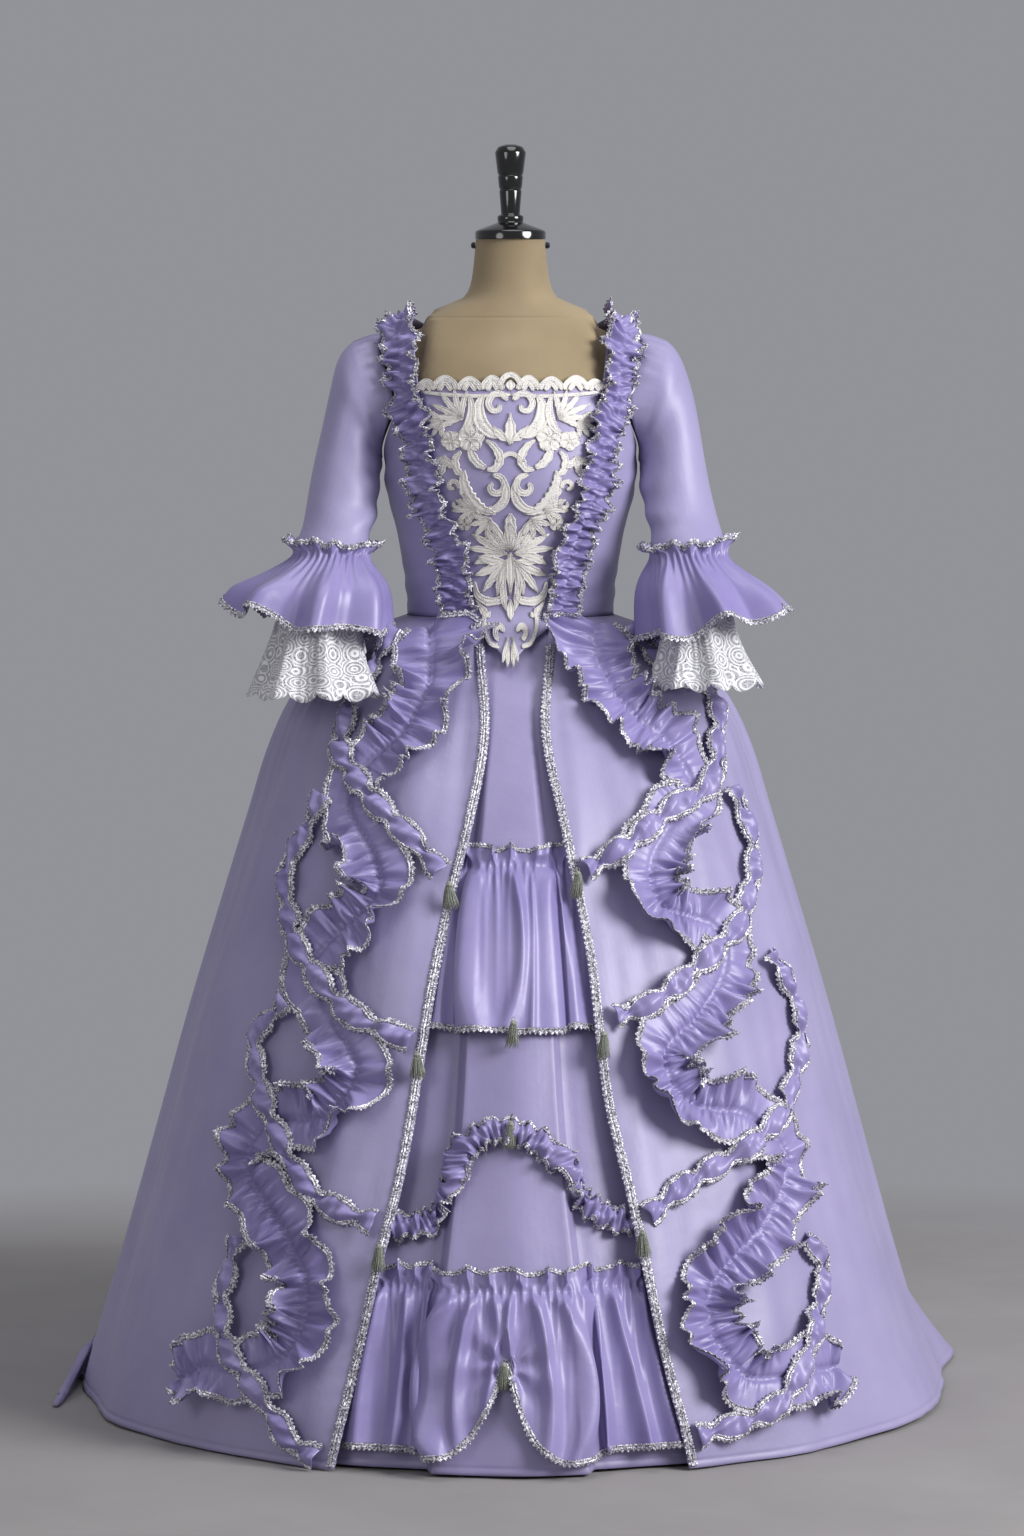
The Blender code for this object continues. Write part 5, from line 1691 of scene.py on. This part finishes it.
def lace_motifs():
    """The right half of the lace: millimetres from the middle, and height. The left half mirrors it."""
    return [
        *scallops(),
        scroll([(0, 1291), (40, 1289), (80, 1291), (108, 1294)], (2.4, 2.0)),
        # scrolls and their leaves, from the top down
        scroll(
            [(3, 1284), (12, 1292), (22, 1290), (27, 1280), (22, 1271), (14, 1272), (13, 1279)],
            (3.4, 2.4, 1.0),
        ),
        scroll([(33, 1291), (39, 1275), (36, 1256), (24, 1243), (11, 1239)], (2.2, 2.4, 6.2)),
        scroll([(50, 1290), (47, 1270), (52, 1252), (62, 1241)], (2.0, 2.0, 3.6)),
        *spray(58, 1260, 38, 46, 6, 105, 3.5),
        *flower(48, 1236, 17, 5, 20),
        *flower(72, 1233, 13, 5, 60),
        *spray(82, 1258, -25, 28, 5, 110, 3.1),
        scroll([(30, 1234), (20, 1226), (13, 1212), (18, 1199), (29, 1197)], (2.2, 3.0, 3.4), 5, 0.25),
        scroll([(30, 1199), (41, 1206), (48, 1219), (42, 1226)], (4.0, 2.6, 3.0), 4, 0.25),
        scroll([(60, 1220), (67, 1210), (65, 1196), (56, 1190)], (2.4, 3.0, 3.0), 4, 0.3),
        *spray(80, 1214, -80, 26, 3, 80, 4.4),
        scroll(curl((19, 1176), 15, 80, 0.95, 0.22, 1), (3.2, 2.2, 1.4)),
        scroll([(9, 1186), (5, 1172), (8, 1158), (18, 1148), (31, 1146)], (2.2, 3.0, 3.2)),
        scroll([(56, 1196), (57, 1180), (50, 1162), (36, 1148), (18, 1142)], (2.4, 3.0, 7.4), 8, 0.3),
        scroll(curl((70, 1176), 8, 200, 0.9, 0.3, -1), (2.4, 1.8, 0.6)),
        *spray(40, 1148, -5, 33, 5, 95, 3.4),
        *spray(24, 1136, -50, 31, 5, 110, 3.6),
        *flower(56, 1128, 9, 4, 45),
        scroll(curl((66, 1154), 7, 120, 0.8, 0.3, 1), (2.0, 1.6, 0.4)),
        # the large middle leaf spray, caught at the waist
        *spray(2, 1094, 60, 48, 3, 52, 4.7),
        *spray(4, 1090, 20, 54, 4, 52, 4.4),
        *spray(4, 1084, -32, 46, 4, 62, 4.2),
        leaf([(2, 1090), (9, 1070), (8, 1048), (4, 1036)], leaf_width(5.0, 0.5), 3, 0.2),
        scroll([(44, 1064), (40, 1052), (28, 1046), (14, 1047), (6, 1052)], (2.4, 2.6, 2.0), 4, 0.2),
        leaf([(42, 1048), (30, 1034), (24, 1036)], leaf_width(5.0, 0.5), 3, 0.3),
        scroll([(30, 1040), (33, 1022), (26, 1007), (14, 1003)], (2.3, 2.0)),
        scroll(curl((13, 1017), 7.5, -80, 0.75, 0.35, 1), (2.6, 2.6, 0.6)),
        leaf([(3, 1012), (6, 1000), (10, 989)], leaf_width(3.0, 0.6, 0.3)),
        leaf([(2, 1005), (3, 996), (4, 985)], leaf_width(2.6, 0.6, 0.3)),
    ]


def middle_motifs():
    """The motifs that cross the middle."""
    return [
        scroll([(-14, 1301), (-8, 1312), (0, 1316), (8, 1312), (14, 1301)], (3.4, 3.4)),
        leaf([(0, 1296), (0, 1303), (0, 1309)], leaf_width(6.0, 0.5, 0.3)),
        leaf([(0, 1228), (0, 1246), (0, 1268)], leaf_width(9.0, 0.42), 3, 0.3),
        leaf([(0, 1232), (-12, 1240), (-22, 1252)], leaf_width(6.4, 0.5), 3, 0.25),
        leaf([(0, 1232), (12, 1240), (22, 1252)], leaf_width(6.4, 0.5), 3, 0.25),
        scroll([(-15, 1206), (-8, 1214), (0, 1217), (8, 1214), (15, 1206)], (2.8, 2.8)),
        leaf([(0, 1142), (0, 1124), (0, 1094)], leaf_width(8.0, 0.4), 4, 0.2),
        leaf([(0, 1092), (0, 1076), (0, 1052)], leaf_width(6.5, 0.5), 3, 0.25),
        leaf([(0, 1048), (0, 1038), (0, 1026)], leaf_width(4.6, 0.5), 0, 0.0),
    ]


def build_lace():
    """The corded lace lies on the stomacher, inside the robings."""
    halves = lace_motifs()
    others = [[[(-x, y, level) for x, y, level in row[::-1]] for row in rows] for rows in halves]
    points, faces = [], []
    for rows in [*halves, *others, *middle_motifs()]:
        faces += grid_faces(len(rows[0]), len(rows), len(points))
        for row in rows:
            for x, height, level in row:
                height -= LACE_SHORTER * max(0.0, LACE_SHORTER_BELOW - height)
                points.append(tuple(stomacher_point(x * MM, height * MM, LACE_OFF + level * LACE_RELIEF)))
    mesh = new_mesh("guipure_applique", points, faces)
    made = add_piece("guipure_applique", mesh, GUIPURE, ["lace_applique"])
    thicken(made, 0.0006, 0.0)


def build_stage():
    bpy.ops.object.select_all(action="DESELECT")
    bpy.ops.mesh.primitive_circle_add(
        vertices=96, radius=FLOOR_RADIUS, fill_type="NGON", location=(0, -0.9, -0.0005)
    )
    floor = bpy.context.active_object
    floor.name = "studio_floor"
    floor.data.materials.append(FLOOR)
    world = bpy.data.worlds.new("studio")
    world.use_nodes = True
    world.node_tree.nodes["Background"].inputs["Color"].default_value = linear(WALL_GREY)
    world.node_tree.nodes["Background"].inputs["Strength"].default_value = 1.0
    bpy.context.scene.world = world
    bpy.context.scene.view_settings.view_transform = "Standard"


def build_lamps():
    for name, place, aim, size, power in LAMPS:
        light = bpy.data.lights.new(name, "AREA")
        light.shape = "DISK"
        light.size = size
        light.energy = power
        lamp = bpy.data.objects.new(name, light)
        lamp.location = place
        lamp.rotation_euler = (Vector(aim) - Vector(place)).to_track_quat("-Z", "Y").to_euler()
        bpy.context.scene.collection.objects.link(lamp)


def build_camera():
    camera = bpy.data.cameras.new("front_view")
    camera.sensor_fit = "VERTICAL"
    camera.sensor_height = 36.0
    camera.lens = LENS
    eye = bpy.data.objects.new("front_view", camera)
    eye.location = (0.002, -VIEW_DISTANCE, EYE_HEIGHT)
    eye.rotation_euler = (math.radians(90 - VIEW_DOWN), 0, 0)
    bpy.context.scene.collection.objects.link(eye)
    bpy.context.scene.camera = eye


def finish_screws():
    """The cap's two small screws keep their modelled form."""
    for name in ("form_screw_left", "form_screw_right"):
        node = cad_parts[name]
        node.data.materials.clear()
        node.data.materials.append(STEEL)


def main():
    build_stage()
    build_lamps()
    build_camera()
    build_form()
    finish_screws()
    build_bodice()
    build_stomacher()
    build_lace()
    for name, side in (("left", -1), ("right", 1)):
        build_sleeve(name, side)
        build_sleeve_flounce(name, side)
        build_sleeve_lace(name, side)
    build_robings()
    build_overskirt()
    build_petticoat()
    build_flounces()
    build_festoon()
    build_skirt_trims("left", 0.8)
    build_skirt_trims("right", 2.4)
    build_braids()
    build_tassels()


main()
